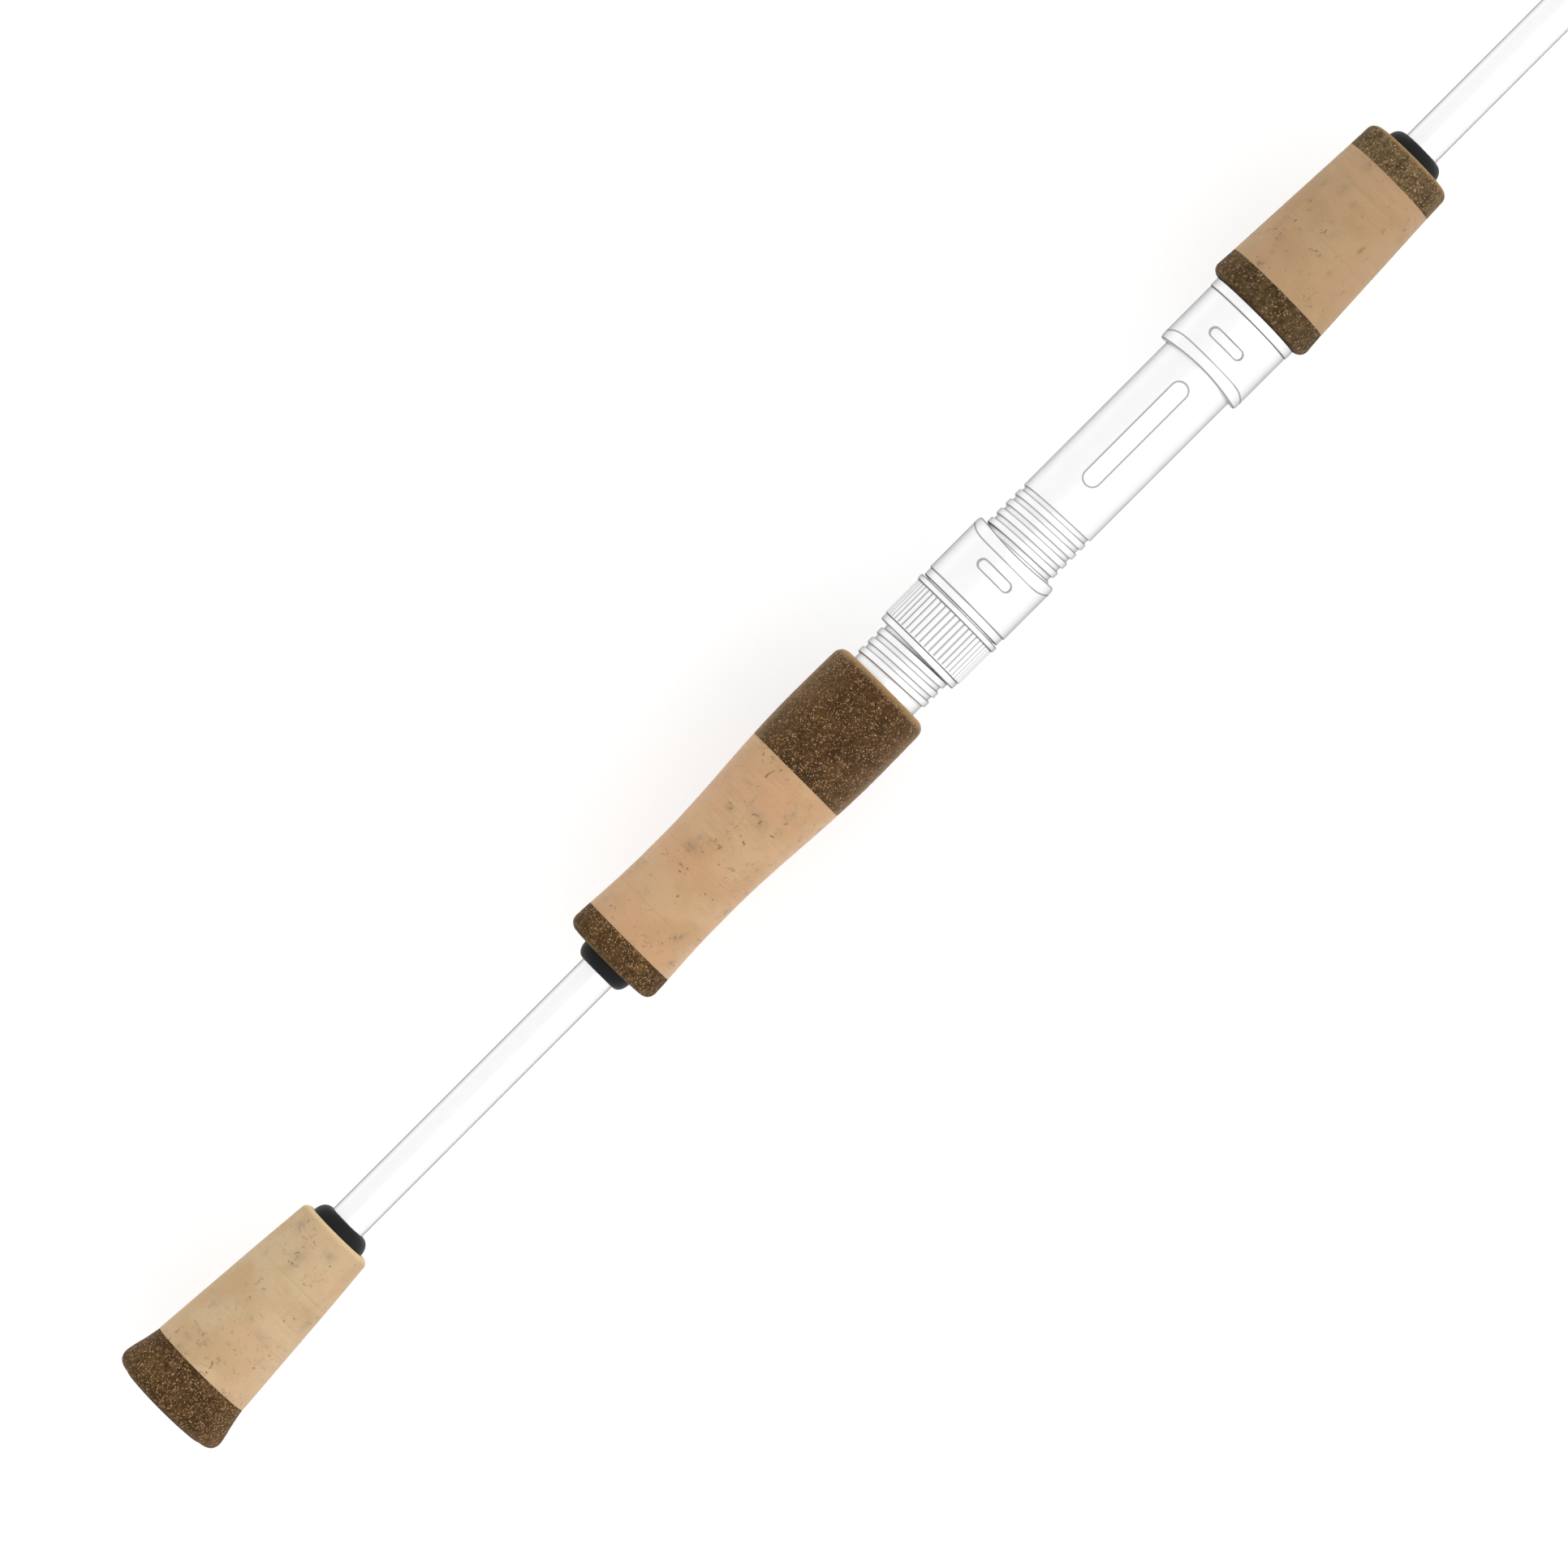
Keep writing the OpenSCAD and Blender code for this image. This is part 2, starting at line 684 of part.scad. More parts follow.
module tip_top_frame() {
    x0 = tip_x - tip_tube_length;
    leg_r = tip_ring_r - leg_sink;
    color(pale_metal) difference() {
        union() {
            rod_cylinder(x0, rod_length - tip_ring_w / 2, tip_tube_r);
            translate([tip_ring_x - tip_ring_w / 2, 0, tip_ring_z]) rotate([0, 90, 0])
                cylinder(r = tip_ring_r, h = tip_ring_w, $fn = round_fn);
            for (s = [-1, 1]) strut(
                [tip_x - tip_leg_back, s * (tip_tube_r - tip_wire_r), 0],
                [tip_ring_x, s * leg_r * sin(tip_leg_angle), tip_ring_z + leg_r * cos(tip_leg_angle)],
                tip_wire_r);
        }
        translate([tip_ring_x - wide / 2, 0, tip_ring_z]) rotate([0, 90, 0])
            cylinder(r = tip_ring_r - band_wall, h = wide, $fn = round_fn);
        blank_core(x0 - margin, tip_x);
    }
}

module tip_top_ring() {
    outer_r = tip_ring_r - band_wall;
    flank_r = tip_ring_id / 2 + ring_flank * (outer_r - tip_ring_id / 2);
    color(pale_ceramic) translate([tip_ring_x, 0, tip_ring_z]) rotate([0, 90, 0])
        rotate_extrude($fn = round_fn)
            polygon([[tip_ring_id / 2, -ring_land / 2], [flank_r, -tip_ring_w / 2],
                     [outer_r, -tip_ring_w / 2], [outer_r, tip_ring_w / 2],
                     [flank_r, tip_ring_w / 2], [tip_ring_id / 2, ring_land / 2]]);
}

module tip_top_wrap() {
    x1 = tip_x - tip_tube_length;
    color(white_wrap) difference() {
        wrap_sleeve(x1 - tip_wrap_length, x1, wrap_over);
        blank_core(x1 - tip_wrap_length - margin, x1 + margin);
    }
}

// ---------------------------------------------------------------- drawing

butt_cap_burl();
butt_cork_ring_1();
butt_cork_ring_2();
butt_cork_ring_3();
butt_winding_check();
rear_winding_check();
rear_burl_ring();
rear_cork_ring_1();
rear_cork_ring_2();
rear_cork_ring_3();
rear_cork_ring_4();
rear_burl_collar();
fore_burl_ring_rear();
fore_cork_ring_1();
fore_cork_ring_2();
fore_cork_ring_3();
fore_burl_ring_front();
fore_winding_check();
seat_barrel();
seat_arbor_rear();
seat_arbor_middle();
seat_arbor_front();
front_hood_shell();
front_hood_liner();
front_trim_ring();
sliding_hood_shell();
sliding_hood_liner();
lock_nut();
blank_butt_section();
blank_tip_section();
ferrule_wrap();
guide_1_frame();
guide_1_ring();
guide_1_wraps();
guide_2_frame();
guide_2_ring();
guide_2_wraps();
guide_3_frame();
guide_3_ring();
guide_3_wraps();
guide_4_frame();
guide_4_ring();
guide_4_wraps();
guide_5_frame();
guide_5_ring();
guide_5_wraps();
guide_6_frame();
guide_6_ring();
guide_6_wraps();
tip_top_frame();
tip_top_ring();
tip_top_wrap();
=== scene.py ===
"""Looks of a light two-piece spinning rod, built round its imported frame.

The rod lies along +X from its butt to its tip. Lengths in this file are in millimetres until a
surface is written to a mesh, which is in metres.
"""

from __future__ import annotations

import json
import logging
import math
from dataclasses import dataclass, field
from enum import Enum
from typing import Sequence

import bmesh
import bpy
import numpy as np
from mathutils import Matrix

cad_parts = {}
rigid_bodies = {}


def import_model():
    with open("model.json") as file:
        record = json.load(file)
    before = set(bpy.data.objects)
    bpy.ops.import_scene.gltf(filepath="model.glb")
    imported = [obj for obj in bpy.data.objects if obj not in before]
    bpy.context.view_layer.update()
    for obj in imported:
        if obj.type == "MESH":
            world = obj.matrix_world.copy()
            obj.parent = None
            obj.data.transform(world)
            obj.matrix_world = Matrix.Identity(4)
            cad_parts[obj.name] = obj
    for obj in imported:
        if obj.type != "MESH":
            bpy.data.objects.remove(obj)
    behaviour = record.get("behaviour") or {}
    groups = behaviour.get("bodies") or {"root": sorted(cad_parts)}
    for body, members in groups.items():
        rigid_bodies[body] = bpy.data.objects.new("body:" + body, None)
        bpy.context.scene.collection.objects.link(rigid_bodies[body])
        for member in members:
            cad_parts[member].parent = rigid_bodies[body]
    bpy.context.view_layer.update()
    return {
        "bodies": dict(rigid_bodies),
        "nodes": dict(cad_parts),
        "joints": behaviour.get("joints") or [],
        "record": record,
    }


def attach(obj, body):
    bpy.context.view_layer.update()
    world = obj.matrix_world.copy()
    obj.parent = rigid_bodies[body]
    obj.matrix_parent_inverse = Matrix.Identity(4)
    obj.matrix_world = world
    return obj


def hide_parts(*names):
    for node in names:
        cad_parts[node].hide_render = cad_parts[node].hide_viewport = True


LOG = logging.getLogger("spinning_rod")
MM = 0.001
TURN = 2.0 * math.pi
Colour = tuple[float, float, float]


# --------------------------------------------------------------------------- surfaces


@dataclass
class Surface:
    """A mesh being worked out: points in millimetres, faces and named values on the points."""

    points: np.ndarray
    faces: list[np.ndarray]
    values: dict[str, np.ndarray] = field(default_factory=dict)

    def moved(self, x: float, y: float, z: float) -> "Surface":
        """The same surface shifted by x, y and z millimetres."""
        return Surface(self.points + np.array([x, y, z]), self.faces, self.values)

    def flipped(self) -> "Surface":
        """The same surface with its faces turned over."""
        return Surface(self.points, [f[:, ::-1] for f in self.faces], self.values)

    def joined(self, *others: "Surface") -> "Surface":
        """This surface and others as one mesh; a value missing on a part is 0 there.

        Args:
            others: The further surfaces.

        Returns:
            One surface that holds all the parts.
        """
        parts = [self, *others]
        starts = np.cumsum([0] + [len(p.points) for p in parts])
        faces = [f + s for p, s in zip(parts, starts) for f in p.faces]
        values = {
            name: np.concatenate([p.values.get(name, np.zeros(len(p.points))) for p in parts])
            for name in sorted({n for p in parts for n in p.values})
        }
        return Surface(np.concatenate([p.points for p in parts]), faces, values)

    def to_object(self, name: str, crease: float = 38.0) -> bpy.types.Object:
        """Writes the surface to a new object at the origin, merging its poles and seams.

        Args:
            name: The object's name.
            crease: Edges sharper than this many degrees stay sharp.

        Returns:
            The object.
        """
        mesh = bpy.data.meshes.new(name)
        sizes = np.concatenate([np.full(len(f), f.shape[1]) for f in self.faces])
        corners = np.concatenate([f.ravel() for f in self.faces]).astype(np.int32)
        mesh.vertices.add(len(self.points))
        mesh.vertices.foreach_set("co", (self.points * MM).astype(np.float32).ravel())
        mesh.loops.add(len(corners))
        mesh.loops.foreach_set("vertex_index", corners)
        mesh.polygons.add(len(sizes))
        starts = np.concatenate([[0], np.cumsum(sizes)[:-1]]).astype(np.int32)
        mesh.polygons.foreach_set("loop_start", starts)
        mesh.update(calc_edges=True)
        for key, value in self.values.items():
            layer = mesh.attributes.new(key, "FLOAT", "POINT")
            layer.data.foreach_set("value", value.astype(np.float32).ravel())
        work = bmesh.new()
        work.from_mesh(mesh)
        bmesh.ops.remove_doubles(work, verts=work.verts, dist=3e-7)
        bmesh.ops.dissolve_degenerate(work, edges=work.edges, dist=1e-8)
        work.to_mesh(mesh)
        work.free()
        smooth(mesh, crease)
        return placed(name, mesh)


def placed(name: str, data: bpy.types.ID) -> bpy.types.Object:
    """A new object in the scene that shows a mesh, a light or a camera.

    Args:
        name: The object's name.
        data: The mesh, light or camera.

    Returns:
        The object.
    """
    obj = bpy.data.objects.new(name, data)
    bpy.context.scene.collection.objects.link(obj)
    return obj


def smooth(mesh: bpy.types.Mesh, crease: float) -> None:
    """Shades a mesh smooth, apart from edges sharper than crease degrees.

    Args:
        mesh: The mesh.
        crease: The angle above which an edge stays sharp.
    """
    mesh.polygons.foreach_set("use_smooth", np.ones(len(mesh.polygons), dtype=bool))
    mesh.set_sharp_from_angle(angle=math.radians(crease))
    mesh.update()


def grid_faces(rows: int, columns: int, closed: bool, lead: int = 0) -> np.ndarray:
    """Quads of a grid whose columns run right round, pointing out for rows that run along +X.

    Args:
        rows: Number of rows; vertex = row * columns + column.
        columns: Number of columns.
        closed: Whether the last row joins the first.
        lead: Rows gained in one turn, for a helix.

    Returns:
        An array of quads.
    """
    i, j = np.meshgrid(np.arange(rows if closed else rows - 1), np.arange(columns), indexing="ij")
    gained = lead * ((j + 1) // columns)
    corners = [(i, j), (i + gained, j + 1), (i + gained + 1, j + 1), (i + 1, j)]
    return np.stack(
        [(row % rows if closed else np.clip(row, 0, rows - 1)) * columns + column % columns
         for row, column in corners], axis=-1,
    ).reshape(-1, 4)


def angles(columns: int) -> np.ndarray:
    """Evenly spaced angles round the rod, counted from +Y towards +Z."""
    return np.arange(columns)[None, :] * TURN / columns


def around(
    x: np.ndarray, r: np.ndarray, a: np.ndarray, closed: bool = True, lead: int = 0, **values: np.ndarray
) -> Surface:
    """Rows of points (x, r cos a, r sin a) about the rod's axis.

    Args:
        x: Stations, one for each row or each point.
        r: Radii, likewise.
        a: The angles, one for each column.
        closed: Whether the last row joins the first.
        lead: Rows gained in one turn.
        values: Named values on the points.

    Returns:
        The surface.
    """
    points = np.stack(np.broadcast_arrays(x, r * np.cos(a), r * np.sin(a)), axis=-1)
    flat = {name: np.broadcast_to(v, points.shape[:2]).ravel() for name, v in values.items()}
    faces = grid_faces(points.shape[0], points.shape[1], closed, lead)
    return Surface(points.reshape(-1, 3), [faces], flat)


def revolve(
    outline: np.ndarray, columns: int = 128, closed: bool = True, relief: float | np.ndarray = 0.0,
    **values: np.ndarray,
) -> Surface:
    """Turns an outline, rows of x and radius that go forwards along the outside, about the X axis;
    the relief is added to the radius.

    Args:
        outline: The outline.
        columns: Points in one turn.
        closed: Whether the outline's end joins its start.
        relief: What is added to the radius.
        values: Named values on the points.

    Returns:
        The turned surface.
    """
    return around(outline[:, :1], outline[:, 1:2] + relief, angles(columns), closed, **values)


def subdivide(line: Sequence[Sequence[float]], step: float) -> np.ndarray:
    """A polyline with points no more than step apart; its corners are kept.

    Args:
        line: The corners.
        step: The largest spacing.

    Returns:
        The points.
    """
    p = np.asarray(line, dtype=float)
    parts = []
    for a, b in zip(p[:-1], p[1:]):
        n = max(1, math.ceil(np.linalg.norm(b - a) / step))
        parts.append(a + (b - a) * np.linspace(0, 1, n, endpoint=False)[:, None])
    return np.concatenate(parts + [p[-1:]])


def arc(x: float, r: float, a: float, b: float, start: float, end: float, n: int) -> np.ndarray:
    """Points (x + a cos t, r + b sin t) of an ellipse, t going from start to end degrees."""
    t = np.radians(np.linspace(start, end, n))
    return np.stack([x + a * np.cos(t), r + b * np.sin(t)], axis=-1)


def tube(path: np.ndarray, radius: float, columns: int = 16) -> Surface:
    """Carries a circle along a path, with rounded ends. Its axes are side = tangent x reference and
    tangent x side.

    Args:
        path: The points that it follows.
        radius: The circle's radius.
        columns: Points round the circle.

    Returns:
        A closed surface.
    """
    tangent = np.gradient(path, axis=0)
    tangent /= np.linalg.norm(tangent, axis=1, keepdims=True)
    side = np.cross(tangent, np.array([0.31, 0.92, 0.24]))
    side /= np.linalg.norm(side, axis=1, keepdims=True)
    up = np.cross(tangent, side)
    t = np.radians([0.0, 30.0, 60.0])
    head = [path[:1] - tangent[:1] * radius * c for c in np.cos(t)]
    tail = [path[-1:] + tangent[-1:] * radius * c for c in np.cos(t)]
    full = np.full(len(path), radius)
    radii = np.concatenate([radius * np.sin(t), full, (radius * np.sin(t))[::-1]])[:, None, None]
    path = np.concatenate(head + [path] + tail[::-1])
    side, up = (np.concatenate([v[:1]] * 3 + [v] + [v[-1:]] * 3)[:, None] for v in (side, up))
    a = angles(columns)[..., None]
    points = path[:, None] + radii * (np.cos(a) * side + np.sin(a) * up)
    return Surface(points.reshape(-1, 3), [grid_faces(len(path), columns, False)])


def soft_max(a: np.ndarray, b: np.ndarray, k: float) -> np.ndarray:
    """The larger of two radii with a fillet k wide: mix(b, a, h) + k h (1 - h)."""
    h = np.clip(0.5 + 0.5 * (a - b) / k, 0.0, 1.0)
    return b + (a - b) * h + k * h * (1.0 - h)


def band(x: np.ndarray, centre: float | np.ndarray, half: float, soft: float = 0.06) -> np.ndarray:
    """1 within half of centre, falling to 0 over soft."""
    return np.clip((half + soft - np.abs(x - centre)) / soft, 0.0, 1.0)


def shade_lines_at(x: np.ndarray, stations: Sequence[float]) -> np.ndarray:
    """Thin lines of painted shade at some stations."""
    return np.clip(sum(band(x, station, 0.10) for station in stations), 0.0, 1.0)


def grain(rows: int, columns: int, size: float, seed: int) -> np.ndarray:
    """Even noise on a grid, about -1 to 1: white noise blurred by exp(-(size k)^2) in its spectrum,
    size being in grid steps. It joins up at the grid's edges.

    Args:
        rows: Rows of the grid.
        columns: Columns of the grid.
        size: Width of the blur.
        seed: Seed of the white noise.

    Returns:
        The noise, a value for each point.
    """
    white = np.random.default_rng(seed).standard_normal((rows, columns))
    ku = np.fft.fftfreq(rows)[:, None]
    kv = np.fft.fftfreq(columns)[None, :]
    blurred = np.fft.ifft2(np.fft.fft2(white) * np.exp(-((ku**2 + kv**2) * (math.pi * size) ** 2))).real
    return np.clip(blurred / (2.0 * blurred.std() + 1e-9), -1.5, 1.5)


def cut_away(obj: bpy.types.Object, tool: Surface, crease: float = 38.0) -> bpy.types.Object:
    """Cuts a closed surface out of an object, for good, and gives the object back.

    Args:
        obj: The object that is cut.
        tool: What is cut away.
        crease: Edges sharper than this many degrees stay sharp.

    Returns:
        The same object.
    """
    cutter = tool.to_object("cutter")
    modifier = obj.modifiers.new("cut", "BOOLEAN")
    modifier.operation, modifier.solver, modifier.object = "DIFFERENCE", "EXACT", cutter
    bpy.context.view_layer.update()
    graph = bpy.context.evaluated_depsgraph_get()
    result = bpy.data.meshes.new_from_object(
        obj.evaluated_get(graph), preserve_all_data_layers=True, depsgraph=graph
    )
    obj.modifiers.clear()
    old, obj.data = obj.data, result
    result.name = old.name
    bpy.data.meshes.remove(old)
    bpy.data.objects.remove(cutter, do_unlink=True)
    smooth(result, crease)
    return obj


# --------------------------------------------------------------------------- finishes


def dimmed(colour: Colour, factor: float) -> Colour:
    """A colour times a factor."""
    return tuple(factor * c for c in colour)


class Sketch:
    """A material's nodes while they are put together. Patterns read object coordinates in mm."""

    def __init__(self, name: str) -> None:
        """Starts a material called name.

        Args:
            name: The material's name.
        """
        self.material = bpy.data.materials.new(name)
        self.material.use_nodes = True
        self.tree = self.material.node_tree
        self.shader = self.tree.nodes["Principled BSDF"]
        self.place = self.add("TexCoord", "Object", {})

    def feed(self, socket: bpy.types.NodeSocket, value: object) -> None:
        """Links a socket to another, or sets its value.

        Args:
            socket: The input.
            value: Another node's output, a colour or a number.
        """
        if isinstance(value, bpy.types.NodeSocket):
            self.tree.links.new(value, socket)
        elif isinstance(value, tuple) and len(value) == 3 and socket.type == "RGBA":
            socket.default_value = (*value, 1.0)
        else:
            socket.default_value = value

    def add(self, kind: str, output: str | int, inputs: dict, **settings: object) -> object:
        """Adds a node with its properties and inputs, and gives one of its outputs.

        Args:
            kind: The node's kind, without its prefix.
            output: The wanted output's name or number.
            inputs: What each input is fed.
            settings: The node's properties.

        Returns:
            The output.
        """
        made = self.tree.nodes.new("ShaderNode" + kind)
        for key, value in settings.items():
            setattr(made, key, value)
        for key, value in inputs.items():
            self.feed(made.inputs[key], value)
        return made.outputs[output]

    def space(self, x: float = 1.0, y: float = 1.0, z: float = 1.0, shift: float = 0.0) -> object:
        """Object coordinates in millimetres, stretched by a factor on each axis and shifted.

        Args:
            x: Factor along the rod.
            y: Factor across it.
            z: Factor on its height.
            shift: The shift, in the pattern's own units.

        Returns:
            The coordinates.
        """
        return self.add("Mapping", "Vector", {
            "Vector": self.place, "Scale": (x / MM, y / MM, z / MM), "Location": (shift, shift * 0.7, -shift),
        })

    def noise(
        self, where: object, scale: float, detail: float = 3.0, rough: float = 0.55, warp: float = 0.0
    ) -> object:
        """Cloudy noise, 0 to 1, at a scale in turns per millimetre.

        Args:
            where: The coordinates.
            scale: Turns per millimetre.
            detail: Layers of finer noise.
            rough: How strong the finer layers are.
            warp: How far it twists itself.

        Returns:
            The noise.
        """
        return self.add("TexNoise", "Fac", {
            "Vector": where, "Scale": scale, "Detail": detail, "Roughness": rough, "Distortion": warp,
        })

    def cells(self, where: object, scale: float) -> tuple[object, object, object]:
        """Voronoi cells: distance to the cell's centre, and two random numbers for each cell.

        Args:
            where: The coordinates.
            scale: Cells per millimetre.

        Returns:
            The distance and the two numbers.
        """
        distance = self.add("TexVoronoi", "Distance", {"Vector": where, "Scale": scale}, feature="F1")
        chance = self.add("SeparateColor", "Red", {"Color": distance.node.outputs["Color"]})
        return distance, chance, chance.node.outputs["Green"]

    def warped(self, where: object, scale: float, amount: float) -> object:
        """Coordinates pushed about by noise, by amount millimetres.

        Args:
            where: The coordinates.
            scale: The noise's scale.
            amount: How far it pushes.

        Returns:
            The pushed coordinates.
        """
        cloud = self.add("TexNoise", "Color", {"Vector": where, "Scale": scale})
        push = self.add("VectorMath", "Vector", {0: cloud, "Scale": amount}, operation="SCALE")
        return self.add("VectorMath", "Vector", {0: where, 1: push}, operation="ADD")

    def ramp(self, value: object, low: float, high: float, start: float = 0.0, end: float = 1.0) -> object:
        """A smooth step from start to end as value goes from low to high.

        Args:
            value: What drives the step.
            low: Where it starts.
            high: Where it ends.
            start: Its value at and before low.
            end: Its value at and past high.

        Returns:
            The step.
        """
        return self.add("MapRange", "Result", {
            "Value": value, "From Min": low, "From Max": high, "To Min": start, "To Max": end,
        }, interpolation_type="SMOOTHSTEP")

    def step(self, value: object, low: float, high: float, end: float = 1.0) -> object:
        """A smooth step down from end to 0."""
        return self.ramp(value, low, high, end, 0.0)

    def times(self, a: object, b: object) -> object:
        """The product of two numbers."""
        return self.add("Math", "Value", {0: a, 1: b}, operation="MULTIPLY")

    def plus(self, a: object, b: object) -> object:
        """The sum of two numbers."""
        return self.add("Math", "Value", {0: a, 1: b}, operation="ADD")

    def mix(self, share: object, first: object, second: object) -> object:
        """A colour between two, by the share of the second."""
        return self.add("Mix", 2, {"Factor": share, 6: first, 7: second}, data_type="RGBA")

    def lit(self, colour: object, value: object) -> object:
        """A colour made lighter or darker by a factor."""
        return self.add("HueSaturation", "Color", {"Color": colour, "Value": value})

    def attribute(self, name: str) -> object:
        """A value stored on the piece's points."""
        return self.add("Attribute", "Fac", {}, attribute_name=name)

    def raise_by(self, height: object, depth: float, strength: float) -> None:
        """Bumps the surface by height times depth millimetres."""
        bump = self.add("Bump", "Normal", {"Strength": strength, "Distance": depth * MM, "Height": height})
        self.feed(self.shader.inputs["Normal"], bump)

    def finish(self, colour: object, roughness: object, **sockets: object) -> bpy.types.Material:
        """Sets the shader's colour, roughness and further sockets, and gives the material.

        Args:
            colour: The base colour.
            roughness: The roughness.
            sockets: Further inputs, named with _ for each space.

        Returns:
            The material.
        """
        self.feed(self.shader.inputs["Base Color"], colour)
        self.feed(self.shader.inputs["Roughness"], roughness)
        for key, value in sockets.items():
            self.shader.inputs[key.replace("_", " ")].default_value = value
        return self.material


@dataclass(frozen=True)
class NaturalCork:
    """Sanded cork: warm tan with smoky and rosy clouds, fine rings round the grip, and pits; a painted
    highlight lightens a front rim.
    """

    name: str
    light: Colour
    warm: Colour
    smoke: Colour
    rosy: Colour
    shift: float = 0.0
    sheen: float = 0.10

    def material(self) -> bpy.types.Material:
        """Builds the material.

        Returns:
            The material.
        """
        s = Sketch(self.name)

        def space(x: float, y: float, shift: float = 0.0) -> object:
            """Coordinates stretched along the rod by x and across it by y."""
            return s.space(x, y, y, self.shift + shift)

        mm = space(1.0, 1.0)
        colour = s.mix(s.ramp(s.noise(mm, 0.09, 2.0), 0.40, 0.60), self.light, self.warm)
        blush = s.noise(space(1.4, 0.7, 40.0), 0.07, 3.0, 0.6)
        colour = s.mix(s.ramp(blush, 0.46, 0.66, 0.0, 0.7), colour, self.rosy)
        patches = s.noise(space(1.3, 0.8, 9.0), 0.35, 5.0, 0.65, 0.4)
        colour = s.mix(s.ramp(patches, 0.54, 0.78, 0.0, 0.38), colour, self.smoke)
        veins = s.noise(space(1.1, 0.8, 63.0), 0.75, 7.0, 0.72, 0.7)
        among = s.ramp(s.noise(space(1.0, 1.0, 21.0), 0.13, 2.0), 0.46, 0.60, 0.0, 0.78)
        colour = s.mix(s.times(s.ramp(veins, 0.55, 0.66), among), colour, dimmed(self.smoke, 0.8))
        rings = s.noise(space(1.0, 0.05), 1.5, 2.0, 0.6)
        zone = s.ramp(s.noise(space(1.0, 1.0, 77.0), 0.10, 2.0), 0.45, 0.62)
        colour = s.lit(colour, s.plus(1.0, s.times(zone, s.ramp(rings, 0.35, 0.65, -0.055, 0.03))))
        fine = s.noise(mm, 2.4, 4.0, 0.65)
        colour = s.lit(colour, s.ramp(fine, 0.25, 0.75, 0.955, 1.04))
        apart, chance, _ = s.cells(s.warped(space(0.8, 1.2), 1.1, 0.6), 0.55)
        specks = s.times(s.step(apart, 0.07, 0.16), s.ramp(chance, 0.84, 0.88, 0.0, 0.35))
        colour = s.mix(specks, colour, dimmed(self.warm, 0.42))
        ragged = s.ramp(s.noise(mm, 2.6, 3.0, 0.7), 0.36, 0.56, 0.1, 1.0)
        haze = s.times(s.attribute("smoke"), s.ramp(s.noise(mm, 1.2, 4.0, 0.7), 0.32, 0.60, 0.35, 1.0))
        colour = s.mix(s.times(haze, 0.62), colour, dimmed(self.smoke, 0.9))
        pit = s.times(s.attribute("pit"), ragged)
        colour = s.mix(s.ramp(pit, 0.03, 0.55, 0.0, 0.85), colour, (0.205, 0.122, 0.066))
        # On cork rings the seam value marks only the dark glued joints.
        colour = s.mix(s.times(s.attribute("seam"), 0.16), colour, self.smoke)
        # Painted highlight: the rim value lightens the front corner and face, where light from the tip side
        # falls.
        colour = s.mix(s.times(s.attribute("rim"), 0.8), colour, (0.66, 0.49, 0.27))
        s.raise_by(s.plus(s.times(fine, 0.6), s.times(specks, -1.0)), 0.05, 0.45)
        rough = s.ramp(fine, 0.2, 0.8, 0.72, 0.88)
        return s.finish(colour, rough, Specular_IOR_Level=0.2, Sheen_Weight=self.sheen, Sheen_Roughness=0.5)


